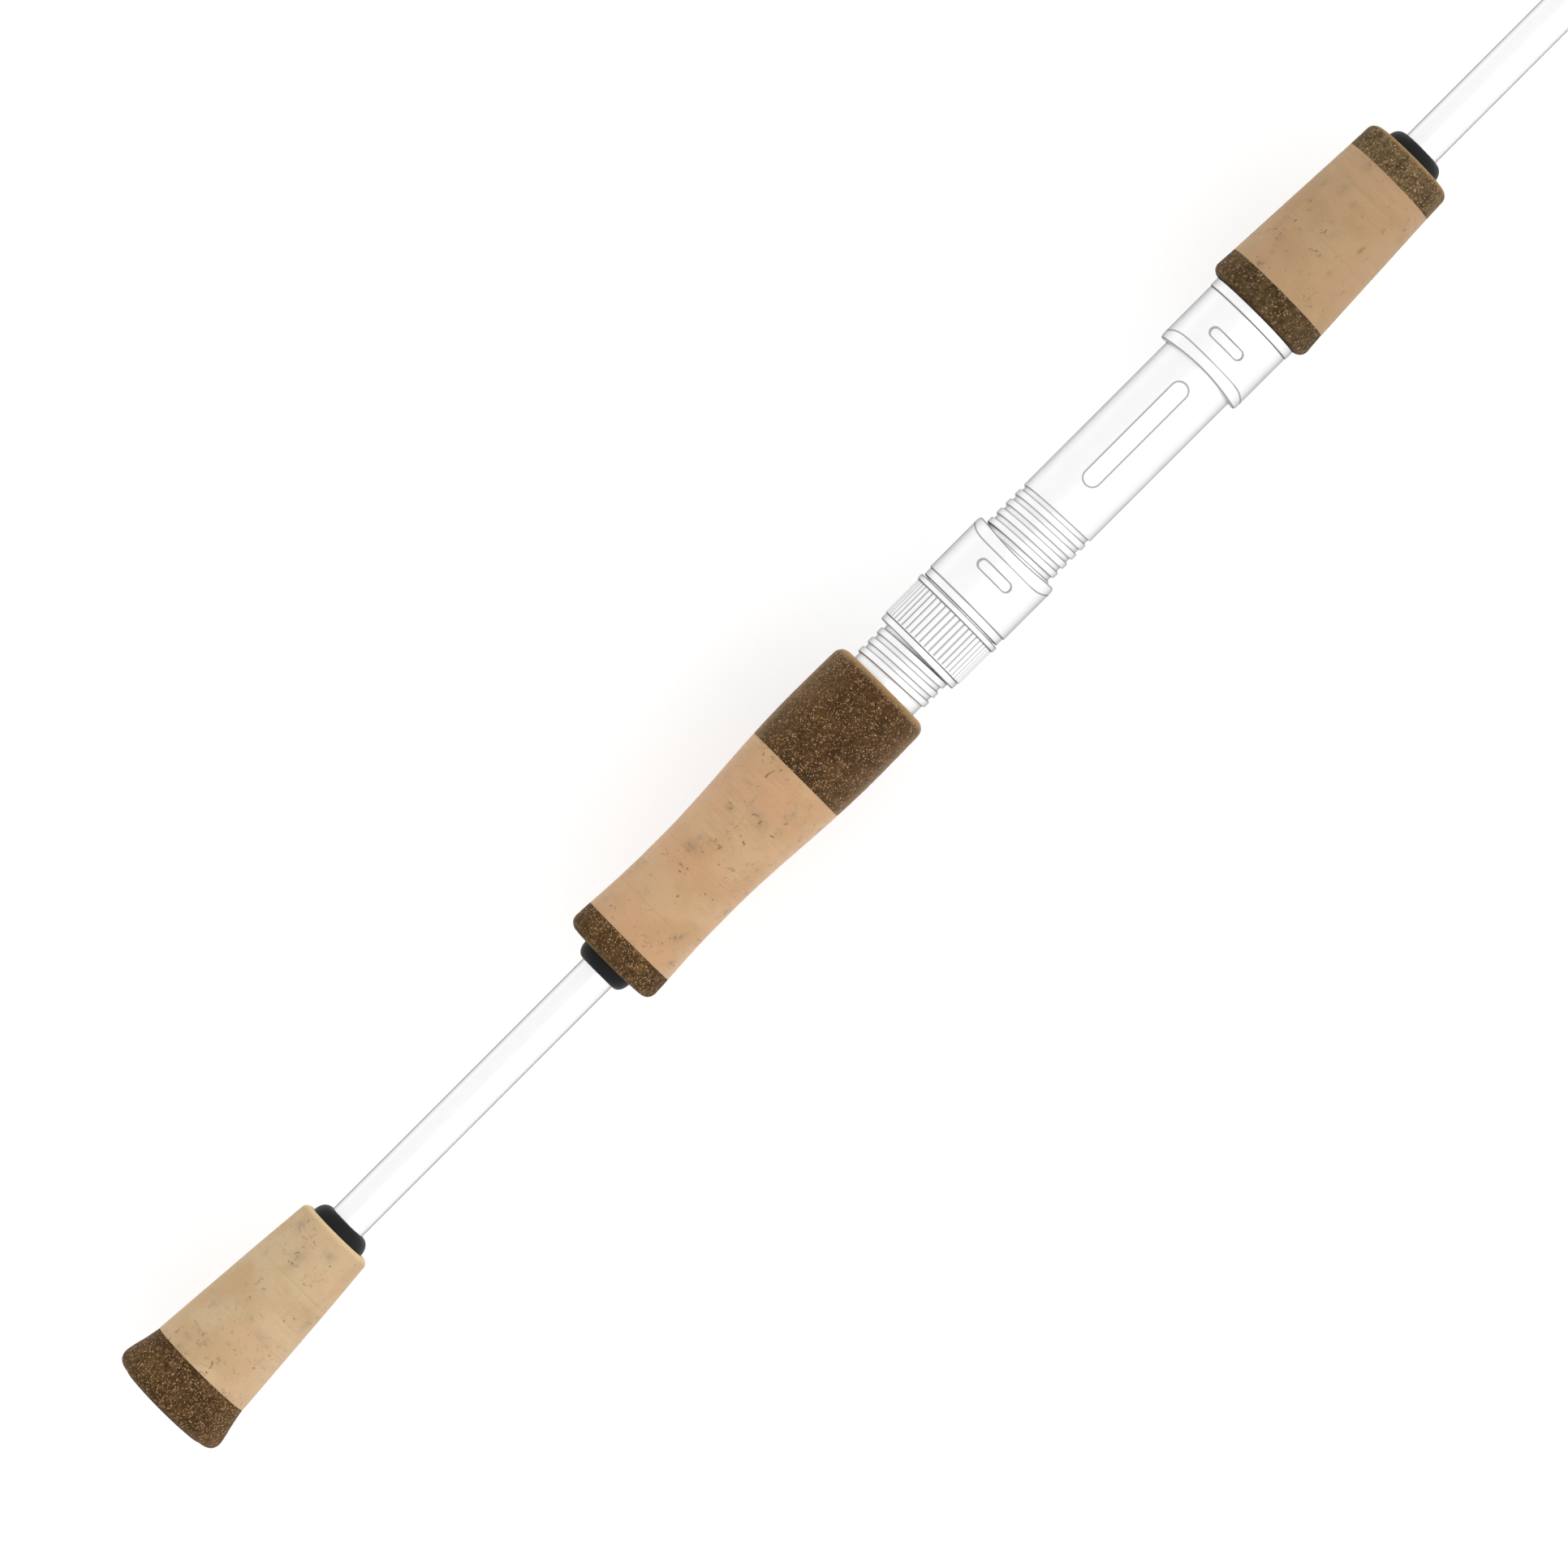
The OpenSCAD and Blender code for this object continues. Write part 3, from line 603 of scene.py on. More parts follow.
@dataclass(frozen=True)
class BurlCork:
    """Pressed cork granules: a dark brown ground full of golden flecks, pale crescents and dark specks, with
    a painted highlight on a front rim and painted shade on rear edges."""

    name: str
    dark: Colour
    mid: Colour
    tan: Colour
    gold: Colour
    size: float
    amount: float
    shift: float = 0.0
    sheen: float = 0.04

    def material(self) -> bpy.types.Material:
        """Builds the material. Sizes below are millimetres times the granules' size.

        Returns:
            The material.
        """
        s = Sketch(self.name)
        mm = s.space(shift=self.shift)
        per = 1.0 / self.size

        def lucky(chance: object, share: float) -> object:
            """Picks a share of the cells."""
            return s.ramp(chance, 0.97 - share, 1.0 - share)

        _, ground, second = s.cells(s.warped(mm, 1.1 * per, 0.9 * self.size), 1.5 * per)
        colour = s.mix(s.ramp(ground, 0.1, 0.9), self.dark, self.mid)
        colour = s.lit(colour, s.ramp(s.noise(mm, 0.16, 3.0), 0.32, 0.68, 0.74, 1.34))
        fine = s.noise(s.space(shift=self.shift + 3.0), 2.6 * per, 4.0, 0.65)
        colour = s.mix(s.ramp(fine, 0.54, 0.70, 0.0, 0.36), colour, self.tan)
        colour = s.lit(colour, s.ramp(fine, 0.30, 0.46, 0.70, 1.0))
        near, luck, shade = s.cells(s.warped(s.space(0.8, 1.2, 1.2, self.shift + 17.0), 1.6, 0.8), 0.9 * per)
        crescents = s.times(s.ramp(near, 0.26, 0.32), s.step(near, 0.42, 0.48))
        crescents = s.times(crescents, lucky(luck, 0.8 * self.amount))
        colour = s.mix(s.times(crescents, 0.6), colour, s.mix(shade, self.tan, (0.33, 0.19, 0.12)))
        twisted = s.warped(s.space(1.2, 0.85, 0.85, self.shift), 2.0 * per, 0.75 * self.size)
        apart, chance, tint = s.cells(twisted, 1.6 * per)
        flecks = s.times(s.step(apart, 0.27, 0.38), lucky(chance, self.amount))
        colour = s.mix(flecks, colour, s.mix(tint, self.tan, self.gold))
        grit, odds, _ = s.cells(s.warped(s.space(shift=self.shift + 53.0), 3.0, 0.2), 2.6 * per)
        bits = s.times(s.step(grit, 0.26, 0.38), s.ramp(odds, 0.98 - self.amount, 1.0 - self.amount))
        colour = s.mix(s.times(bits, 0.8), colour, self.gold)
        dots, fate, _ = s.cells(s.space(shift=self.shift + 31.0), 1.7 * per)
        dark_dots = s.times(s.step(dots, 0.24, 0.38), s.ramp(fate, 0.74, 0.78, 0.0, 0.6))
        colour = s.mix(dark_dots, colour, dimmed(self.dark, 0.4))
        # Painted highlight: a paler rim on the front corner and face, where light from the tip side falls.
        rim_highlight = s.times(s.attribute("rim"), s.ramp(fine, 0.30, 0.60, 0.35, 0.9))
        colour = s.mix(rim_highlight, colour, (0.375, 0.228, 0.103))
        # Painted shade: on burl rings the seam value darkens rear edges, where shade falls.
        colour = s.mix(s.times(s.attribute("seam"), 0.7), colour, dimmed(self.dark, 0.3))
        s.raise_by(s.plus(s.plus(flecks, s.times(second, 0.5)), s.times(dark_dots, -1.2)), 0.07, 0.6)
        return s.finish(
            colour, s.ramp(fine, 0.2, 0.8, 0.62, 0.85), Specular_IOR_Level=0.06,
            Sheen_Weight=self.sheen, Sheen_Roughness=0.45, Sheen_Tint=(1.0, 0.72, 0.46, 1.0),
        )


@dataclass(frozen=True)
class MouldedPart:
    """A moulded, pressed or coated part: one colour, fine texture, and painted shade lines on its edges and
    in its grooves. Where it is metallic, grazing is how much of its colour is left at its outline."""

    name: str
    colour: Colour
    line: Colour
    roughness: float
    metallic: float = 0.0
    coat: float = 0.0
    texture: float = 0.004
    brushed: bool = False
    specular: float = 0.3
    grazing: float = 1.0

    def material(self) -> bpy.types.Material:
        """Builds the material.

        Returns:
            The material.
        """
        s = Sketch(self.name)
        where = s.space(1.0, 0.06, 0.06) if self.brushed else s.space()
        fine = s.noise(where, 6.0 if self.brushed else 5.0, 3.0, 0.6)
        worn = s.noise(s.space(shift=5.0), 0.35, 3.0)
        colour = s.lit(self.colour, s.ramp(s.plus(s.times(fine, 0.4), worn), 0.4, 1.0, 0.985, 1.01))
        # Painted shade: the edge value turns the colour to the line grey at edges, creases and grooves, where
        # shade falls.
        colour = s.mix(s.attribute("edge"), colour, self.line)
        s.raise_by(fine, self.texture, 0.5)
        rough = s.ramp(worn, 0.3, 0.7, self.roughness * 0.94, self.roughness * 1.06)
        return s.finish(
            colour, rough, Metallic=self.metallic, Coat_Weight=self.coat, Coat_Roughness=0.06,
            Specular_IOR_Level=self.specular, Specular_Tint=(*3 * [self.grazing], 1.0),
        )


@dataclass(frozen=True)
class ThreadWrap:
    """Winding thread under a clear coat: close turns round the rod."""

    name: str
    colour: Colour
    shadow: Colour
    pitch: float = 0.19

    def material(self) -> bpy.types.Material:
        """Builds the material.

        Returns:
            The material.
        """
        s = Sketch(self.name)
        inputs = {"Vector": s.space(), "Scale": math.pi / (10.0 * self.pitch), "Distortion": 0.0}
        ridge = s.add("TexWave", "Fac", inputs, wave_type="BANDS", bands_direction="X")
        sheen = s.noise(s.space(0.2, 1.0, 1.0), 2.0, 2.0)
        colour = s.mix(s.step(ridge, 0.0, 0.5, 0.75), self.colour, self.shadow)
        colour = s.lit(colour, s.ramp(sheen, 0.3, 0.7, 0.96, 1.03))
        s.raise_by(ridge, 0.03, 0.5)
        return s.finish(colour, 0.45, Coat_Weight=1.0, Coat_Roughness=0.04)


class Finish(Enum):
    """The finishes of the rod, each named after the record's material slot."""

    NATURAL_CORK = "natural_cork"
    BUTT_CORK = "natural_cork.."
    FORE_CORK = "natural_cork."
    BURL_CORK = "burl_cork"
    COLLAR_BURL = "burl_cork."
    FORE_BURL = "light_burl_cork."
    LIGHT_BURL = "light_burl_cork"
    CHECK_RUBBER = "check_rubber"
    SEAT_PLASTIC = "seat_plastic"
    ARBOR_FOAM = "arbor_foam"
    HOOD_METAL = "hood_metal"
    LINER_PLASTIC = "liner_plastic"
    BLANK_GLOSS = "blank_gloss"
    THREAD_WRAP = "thread_wrap"
    GUIDE_WIRE = "guide_wire"
    GUIDE_CERAMIC = "guide_ceramic"

    @property
    def slot(self) -> str:
        """The record's material slot."""
        return self.value.rstrip(".")


# Grey of the painted shade lines on the seat's and blank's parts.
SHADE_LINE_GREY: Colour = (0.36, 0.36, 0.365)
WHITE: Colour = (0.86, 0.86, 0.86)
RECIPES: dict[Finish, object] = {
    Finish.NATURAL_CORK: NaturalCork(
        "natural_cork", (0.478, 0.306, 0.168), (0.437, 0.265, 0.135), (0.260, 0.190, 0.115),
        (0.485, 0.275, 0.152), sheen=0.2,
    ),
    Finish.BUTT_CORK: NaturalCork(
        "butt_cork", (0.492, 0.355, 0.207), (0.452, 0.308, 0.166), (0.285, 0.222, 0.150),
        (0.490, 0.318, 0.185), 25.0,
    ),
    Finish.FORE_CORK: NaturalCork(
        "fore_cork", (0.383, 0.252, 0.135), (0.352, 0.224, 0.114), (0.225, 0.165, 0.100),
        (0.388, 0.238, 0.130), 60.0,
    ),
    Finish.BURL_CORK: BurlCork(
        "burl_cork", (0.048, 0.025, 0.009), (0.082, 0.044, 0.016), (0.17, 0.100, 0.045),
        (0.48, 0.300, 0.135), 0.74, 0.29,
    ),
    Finish.COLLAR_BURL: BurlCork(
        "collar_burl", (0.041, 0.0205, 0.0075), (0.070, 0.036, 0.0135), (0.152, 0.087, 0.039),
        (0.46, 0.280, 0.125), 0.74, 0.25, 5.0, 0.36,
    ),
    Finish.FORE_BURL: BurlCork(
        "fore_burl", (0.051, 0.031, 0.013), (0.090, 0.055, 0.0235), (0.15, 0.095, 0.047),
        (0.33, 0.215, 0.10), 1.0, 0.21, 47.0,
    ),
    Finish.LIGHT_BURL: BurlCork(
        "light_burl", (0.066, 0.043, 0.019), (0.112, 0.074, 0.036), (0.18, 0.120, 0.060),
        (0.34, 0.225, 0.105), 1.0, 0.42, 23.0,
    ),
    Finish.CHECK_RUBBER: MouldedPart(
        "check_rubber", (0.0075, 0.0065, 0.007), (0.006, 0.006, 0.006), 0.5, texture=0.02, specular=0.14
    ),
    Finish.SEAT_PLASTIC: MouldedPart(
        "seat_plastic", WHITE, SHADE_LINE_GREY, 0.34, 0.85, texture=0.0003, grazing=0.2
    ),
    Finish.ARBOR_FOAM: MouldedPart("arbor_foam", (0.55, 0.47, 0.33), SHADE_LINE_GREY, 0.9, texture=0.05),
    Finish.HOOD_METAL: MouldedPart("hood_metal", WHITE, SHADE_LINE_GREY, 0.30, 0.85, texture=0.0003, grazing=0.25),
    Finish.LINER_PLASTIC: MouldedPart("liner_plastic", (0.74, 0.74, 0.745), SHADE_LINE_GREY, 0.5),
    Finish.BLANK_GLOSS: MouldedPart("blank_gloss", WHITE, SHADE_LINE_GREY, 0.26, 0.8, texture=0.0003, grazing=0.0),
    Finish.THREAD_WRAP: ThreadWrap("thread_wrap", (0.50, 0.51, 0.53), (0.32, 0.33, 0.35)),
    Finish.GUIDE_WIRE: MouldedPart(
        "guide_wire", (0.45, 0.46, 0.48), SHADE_LINE_GREY, 0.28, 1.0, brushed=True, specular=0.5
    ),
    Finish.GUIDE_CERAMIC: MouldedPart(
        "guide_ceramic", (0.30, 0.33, 0.37), SHADE_LINE_GREY, 0.08, coat=0.6, texture=0.001, specular=0.5
    ),
}


class Wardrobe:
    """Makes each finish once and dresses pieces with it."""

    def __init__(self, frame: dict) -> None:
        """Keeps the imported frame, whose record says which body a node rides on.
        """
        self.frame = frame
        self.made: dict[Finish, bpy.types.Material] = {}
        bodies = frame["record"]["behaviour"]["bodies"]
        self.bodies = {n: b for b, nodes in bodies.items() for n in nodes}

    def material(self, finish: Finish) -> bpy.types.Material:
        """The material of a finish.

        Args:
            finish: The finish.

        Returns:
            The material, made when it is first asked for.
        """
        if finish not in self.made:
            self.made[finish] = RECIPES[finish].material()
        return self.made[finish]

    def dress(self, obj: bpy.types.Object, finish: Finish, *nodes: str) -> None:
        """Puts a finish on a new piece that stands for nodes, and lets it ride on their body.

        Args:
            obj: The piece.
            finish: Its finish.
            nodes: The CAD nodes that it replaces.
        """
        obj.data.materials.clear()
        obj.data.materials.append(self.material(finish))
        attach(obj, self.bodies[nodes[0]])
        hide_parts(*nodes)
        finish.slot
        LOG.info("%s: %d faces in %s", obj.name, len(obj.data.polygons), finish.slot)

    def keep(self, node: str, finish: Finish) -> None:
        """Gives a CAD node that stays in view its finish.

        Args:
            node: The node's name.
            finish: Its finish.
        """
        for one in self.frame["nodes"][node].material_slots:
            one.material = self.material(finish)
        LOG.info("%s: kept, in %s", node, finish.slot)


# --------------------------------------------------------------------------- grips


@dataclass(frozen=True)
class Mark:
    """A pit, a dash or a smoky patch in cork, on the side that faces up: side is its distance
    from the rod's middle plane, turn is its angle from the rod's direction."""

    x: float
    side: float
    long: float
    wide: float
    turn: float = 0.0
    force: float = 1.0
    soft: bool = False


@dataclass
class GripRing:
    """One glued ring of a grip: the outside's outline, and what marks its surface."""

    node: str
    finish: Finish
    outside: np.ndarray
    seed: int
    pits: int = 0
    marks: tuple[Mark, ...] = ()
    # Stations of glued seams, and on burl rings of painted shade on rear edges.
    seams: tuple[float, ...] = ()
    # Where a painted highlight lightens the front rim.
    rim: tuple[float, float] | None = None
    blind: float | None = None


@dataclass
class Grip:
    """A grip of cork rings on the blank. Its rings come from its own class."""

    bore: float = 3.95
    step: float = 0.22
    face_step: float = 0.6
    columns: int = 336
    corner_points: int = 14
    burl_grain: float = 0.035
    cork_grain: float = 0.014
    pit_depth: float = 0.10
    seam_depth: float = 0.03
    seam_width: float = 0.16
    edge_r: float = 9.6

    def rings(self) -> list[GripRing]:
        """The grip's rings, from the butt forwards."""
        raise NotImplementedError

    def stretch(self, x0: float, x1: float) -> np.ndarray:
        """The outline between two stations."""
        raise NotImplementedError

    def corner(self, x: float, r: float, c: float, start: float, end: float) -> np.ndarray:
        """A quarter circle (x + c + c cos t, r - c + c sin t) that rounds a square corner; at a
        front face x + c is x - c.

        Args:
            x: The corner's station.
            r: The corner's radius from the rod's axis.
            c: The rounding's radius.
            start: 180 at a rear face, 90 at a front face.
            end: 90 at a rear face, 0 at a front face.

        Returns:
            Rows of x and radius.
        """
        middle = x + c if start == 180.0 else x - c
        return arc(middle, r - c, c, c, start, end, self.corner_points)

    def cork(
        self, name: str, finish: Finish, stations: Sequence[float], seed: int, pits: Sequence[int],
        marks: Sequence[Mark], front: float = math.inf,
    ) -> list[GripRing]:
        """Natural cork rings between stations.

        Args:
            name: The grip's name in the nodes.
            finish: Their finish.
            stations: Where the rings meet.
            seed: The first ring's seed; the others count on.
            pits: How many marks are set at random on each.
            marks: The grip's placed marks.
            front: A ring that ends here has a painted highlight on its front rim in place of a dark joint.

        Returns:
            The rings.
        """
        made = []
        for i, (x0, x1) in enumerate(zip(stations[:-1], stations[1:])):
            last = x1 >= front
            made.append(GripRing(
                f"{name}_cork_ring_{i + 1}", finish, self.stretch(x0, x1), seed + i, pits[i],
                marks=tuple(m for m in marks if x0 <= m.x < x1), seams=(x0,) if last else (x0, x1),
                rim=(x1 - 0.9, x1 - 0.15) if last else None,
            ))
        return made

    def scattered(self, ring: GripRing) -> list[tuple[float, float, Mark]]:
        """Marks set at random all round a ring: dots, streaks round the rod and small clusters.

        Args:
            ring: The ring, whose seed places them.

        Returns:
            The station, the angle and the mark.
        """
        chance = np.random.default_rng(ring.seed)
        low, high = ring.outside[:, 0].min() + 0.4, ring.outside[:, 0].max() - 0.4
        found = []
        for _ in range(ring.pits):
            x, a = chance.uniform(low, high), chance.uniform(0, TURN)
            kind = chance.random()
            force = chance.uniform(0.3, 0.9)
            if kind < 0.45:
                mark = Mark(x, 0, chance.uniform(0.16, 0.34), chance.uniform(0.12, 0.24), 0, force)
                found.append((x, a, mark))
            elif kind < 0.65:
                mark = Mark(x, 0, chance.uniform(0.5, 1.5), 0.13, 90 + chance.normal(0, 8), 0.7 * force)
                found.append((x, a, mark))
            else:
                for _ in range(chance.integers(3, 6)):
                    mark = Mark(x, 0, chance.uniform(0.15, 0.4), 0.16, chance.uniform(0, 180), force)
                    found.append((x + chance.normal(0, 0.5), a + chance.normal(0, 0.06), mark))
                found.append((x, a, Mark(x, 0, 1.5, 1.2, 0, 0.6, True)))
        return found

    def marked(
        self, ring: GripRing, x: np.ndarray, r: np.ndarray, a: np.ndarray
    ) -> tuple[np.ndarray, np.ndarray]:
        """Spreads the marks: each is an ellipse 1.3 - u^2 - v^2 with a ragged edge, or a soft
        bell exp(-u^2 - v^2).

        Args:
            ring: The ring.
            x: Stations.
            r: Radii.
            a: Angles.

        Returns:
            How far each point is in a pit, and in a smoky patch, from 0 to 1.
        """
        ragged = grain(len(x), self.columns, 1.1, ring.seed + 900)
        placed_marks = [
            (m.x, math.acos(m.side / float(np.interp(m.x, *ring.outside.T))), m) for m in ring.marks
        ]
        pit, smoke = np.zeros(ragged.shape), np.zeros(ragged.shape)
        for cx, ca, mark in placed_marks + self.scattered(ring):
            ds = (np.mod(a - ca + math.pi, TURN) - math.pi) * r
            t = math.radians(mark.turn)
            u = ((x - cx) * math.cos(t) + ds * math.sin(t)) / mark.long
            v = (ds * math.cos(t) - (x - cx) * math.sin(t)) / mark.wide
            if mark.soft:
                smoke = np.maximum(smoke, mark.force * np.exp(-u * u - v * v))
            else:
                pit = np.maximum(pit, mark.force * np.clip(1.3 - u * u - v * v - 0.5 * ragged, 0.0, 1.0))
        return pit, smoke

    def surface(self, ring: GripRing) -> Surface:
        """The ring's surface: its outside, its two faces and its bore.

        Args:
            ring: The ring.

        Returns:
            A closed surface with its pits and seams marked, painted shade on burl rear edges and a painted
            highlight on its front rim.
        """
        outside = subdivide(ring.outside, self.step)
        x, r = outside[:, :1], outside[:, 1:2]
        front, rear = outside[-1, 0], outside[0, 0]
        through = ring.blind is None
        floor = rear if through else ring.blind
        inside = np.array([[front, self.bore], [floor, self.bore], [floor, 0.0]])[: 2 if through else 3]
        face = subdivide([outside[-1], inside[0]], self.face_step)[1:-1]
        back = subdivide([inside[-1], outside[0]], self.face_step)[1:-1][: None if through else 0]
        outline = np.concatenate([outside, face, inside, back])

        def full(outer: np.ndarray) -> np.ndarray:
            """Values of the outside, with 0 on the faces and in the bore."""
            outer = np.broadcast_to(outer, (len(outside), self.columns))
            return np.pad(outer, ((0, len(outline) - len(outside)), (0, 0)))

        rough = 0.5 * grain(len(outside), self.columns, 1.6, ring.seed)
        rough += 0.5 * grain(len(outside), self.columns, 5.0, ring.seed + 500)
        strength = self.cork_grain if ring.pits else self.burl_grain
        rough = (rough - 1.0) * strength * np.clip(r / 3.0, 0.0, 1.0)
        # Seam stations darken glued joints on cork rings; on burl rings they paint shade on rear edges, and
        # on the blind butt cap only its rounded rear corner.
        gap = np.zeros_like(x)
        for seam in ring.seams:
            gap += np.exp(-(((x - seam) / self.seam_width) ** 2))
        if not through:
            rough[0] = 0.0
            gap *= np.clip((r - self.edge_r) / 0.6, 0.0, 1.0)
        pit, smoke = self.marked(ring, x, r, angles(self.columns)) if ring.pits else (0 * x, 0 * x)
        # Painted highlight: the front rim and the whole front face.
        rim = full(0 * x)
        if ring.rim:
            start, end = ring.rim
            rim = full(np.clip((x - start) / (end - start), 0.0, 1.0))
            rim[len(outside) : len(outside) + len(face)] = 1.0
        return revolve(
            outline, self.columns, through, full(rough - self.pit_depth * pit - self.seam_depth * gap),
            pit=full(pit), smoke=full(smoke), seam=full(gap), rim=rim,
        )

    def build(self, wardrobe: Wardrobe) -> None:
        """Makes and dresses every ring."""
        for ring in self.rings():
            wardrobe.dress(self.surface(ring).to_object(f"grip_{ring.node}"), ring.finish, ring.node)


BUTT_MARKS: tuple[Mark, ...] = (
    Mark(11.0, 8.5, 0.35, 0.12), Mark(13.1, 8.5, 0.55, 0.12), Mark(14.3, 8.5, 0.2, 0.1),
    Mark(11.0, -0.3, 0.3, 0.16, 70), Mark(11.7, -1.2, 0.22, 0.2), Mark(13.2, -1.0, 0.8, 0.16, -10),
    Mark(13.9, -0.6, 0.3, 0.2, 60), Mark(15.2, -0.8, 0.35, 0.16, 20), Mark(17.6, -0.5, 0.2, 0.1, 0, 0.7),
    Mark(18.5, -0.4, 0.3, 0.12, 0, 0.7), Mark(11.4, 6.0, 0.9, 1.0, 0, 0.8, True),
    Mark(14.0, 6.2, 0.6, 1.0, 0, 0.7, True), Mark(22.0, 7.2, 1.2, 1.0, 40, 0.7, True),
    Mark(22.5, 2.1, 0.22, 0.14, 0, 0.8), Mark(25.2, 0.4, 1.0, 0.8, 0, 0.6, True),
    Mark(22.6, -1.8, 0.2, 0.2, 0, 0.7), Mark(23.8, -3.6, 1.3, 1.6, 0, 0.6, True),
    Mark(18.6, -7.1, 0.3, 0.2, 30), Mark(20.7, -7.1, 0.9, 0.5, 10, 0.8, True),
    Mark(22.4, -7.6, 0.18, 0.3, 0, 0.8), Mark(27.2, 3.2, 0.8, 0.7, 0, 0.6, True),
    Mark(30.9, -5.9, 0.22, 0.3, 0, 0.7), Mark(40.4, 2.8, 0.7, 0.22, 25, 0.8),
    Mark(40.0, 2.0, 1.8, 1.4, 30, 0.9, True), Mark(38.1, 2.8, 0.25, 0.12, 0, 0.7),
    Mark(43.2, 1.2, 0.25, 0.2, 0, 0.7), Mark(44.2, 1.9, 0.15, 0.2, 0, 0.7),
    Mark(43.0, -3.6, 0.25, 0.2, 40, 0.8), Mark(44.4, -2.4, 1.2, 1.6, 0, 0.9, True),
    Mark(44.6, 6.2, 1.4, 1.2, 0, 0.8, True), Mark(46.6, -6.9, 0.5, 0.1, 0, 0.8),
)
REAR_MARKS: tuple[Mark, ...] = (
    Mark(131.2, 7.4, 0.25, 0.16, 40), Mark(131.6, 1.2, 0.16, 0.14), Mark(128.95, -1.4, 0.14, 0.3),
    Mark(130.2, -2.7, 0.3, 0.14, 40), Mark(131.0, -2.0, 0.3, 0.14, 80, 0.7),
    Mark(133.1, -4.9, 0.25, 0.14, 0, 0.7), Mark(133.8, -7.4, 0.14, 0.14, 0, 0.7),
    Mark(141.0, 6.0, 0.5, 0.12, 80, 0.6), Mark(143.9, 7.8, 0.28, 0.22, 50),
    Mark(141.7, -0.5, 0.34, 0.2, 30), Mark(140.3, -1.1, 0.2, 0.12, 0, 0.7),
    Mark(145.4, 2.6, 0.22, 0.34, 0, 0.9), Mark(146.5, 3.6, 1.3, 0.11, 94, 0.8),
    Mark(146.8, 1.9, 0.22, 0.34), Mark(145.8, -4.0, 0.2, 0.3, 0, 0.7), Mark(146.0, -5.8, 0.2, 0.3, 0, 0.6),
    Mark(149.8, 4.8, 1.6, 1.5, 0, 1.0, True), Mark(149.2, 4.6, 0.7, 0.14, 50, 0.5),
    Mark(150.4, 5.2, 0.6, 0.14, 100, 0.5), Mark(152.6, 4.6, 0.9, 0.8, 0, 0.8, True),
    Mark(151.2, 2.2, 0.26, 0.2, 0, 0.8), Mark(151.7, -1.8, 0.3, 0.14, 0, 0.7),
    Mark(154.0, 0.4, 0.75, 0.26, 12, 0.9), Mark(154.3, 0.9, 0.4, 0.16, 60, 0.8),
    Mark(156.8, 0.3, 0.25, 0.2, 40, 0.6), Mark(159.4, 1.0, 1.2, 0.12, 0, 0.5),
    Mark(158.0, -2.3, 0.6, 0.24, -55, 0.9), Mark(161.2, 4.6, 1.0, 1.1, 0, 1.0, True),
    Mark(161.0, 4.3, 0.5, 0.2, 30, 0.7), Mark(161.7, 5.0, 0.6, 0.16, 80, 0.7),
    Mark(163.5, 0.0, 0.2, 0.4, 0, 0.7), Mark(162.1, -2.1, 1.1, 0.7, 0, 0.8, True),
    Mark(162.8, -5.2, 0.7, 0.18, 80, 0.9), Mark(165.0, 2.3, 1.5, 0.4, 0, 0.8, True),
    Mark(163.5, -1.0, 1.8, 3.2, 0, 0.5, True), Mark(170.7, 3.8, 0.7, 0.22, 5),
    Mark(171.8, 3.55, 0.26, 0.26), Mark(173.1, 2.6, 0.34, 0.2, 20), Mark(173.0, 7.3, 0.5, 0.2, -30),
    Mark(172.0, 6.6, 0.24, 0.2, 50, 0.8), Mark(173.7, 5.6, 0.6, 0.16, 100, 0.9),
    Mark(172.9, 5.0, 0.4, 0.14, 30, 0.8), Mark(173.9, 7.9, 0.3, 0.2, 0, 0.9),
    Mark(167.8, 3.6, 0.16, 0.2, 0, 0.7),
)
FORE_MARKS: tuple[Mark, ...] = (
    Mark(309.1, 7.7, 0.3, 0.16, 30, 0.8), Mark(319.4, 7.5, 0.5, 0.14, 5), Mark(324.2, 8.1, 0.34, 0.26, 20),
    Mark(325.1, 8.1, 0.2, 0.16, 0, 0.8), Mark(321.1, 2.2, 0.3, 0.16, 20), Mark(321.5, 1.8, 0.36, 0.16, -40),
    Mark(321.4, 2.6, 0.26, 0.14, 80), Mark(321.3, 1.1, 0.16, 0.16), Mark(322.0, 1.9, 0.3, 0.12, 10, 0.8),
    Mark(323.9, 2.1, 0.5, 0.7, 0, 0.9, True), Mark(329.4, 1.6, 0.6, 0.5, 0, 0.7, True),
    Mark(324.3, -5.7, 0.8, 0.28, 5, 0.7), Mark(324.2, -5.7, 1.2, 0.6, 0, 1.0, True),
    Mark(324.0, -7.6, 2.2, 0.08, -3, 0.6), Mark(311.7, -3.7, 0.2, 0.2, 0, 0.7),
    Mark(309.4, -6.4, 0.6, 0.14, 35, 0.8), Mark(316.0, -9.0, 0.7, 0.4, 0, 0.8, True),
    Mark(319.8, -3.1, 0.3, 0.1, 0, 0.6), Mark(336.8, 0.9, 0.3, 0.12, -30, 0.5),
    Mark(313.8, 4.6, 0.12, 0.26, 20, 0.6), Mark(311.9, 6.3, 0.5, 0.6, 0, 0.8, True),
    Mark(309.2, 4.6, 0.3, 0.12, -20, 0.6), Mark(322.6, 0.3, 1.6, 0.8, 20, 0.5, True),
    Mark(328.4, 8.7, 1.0, 0.5, 0, 0.7, True), Mark(317.5, -7.4, 0.3, 0.2, 0, 0.5),
    Mark(316.5, -4.4, 0.8, 0.6, 30, 0.5, True),
)

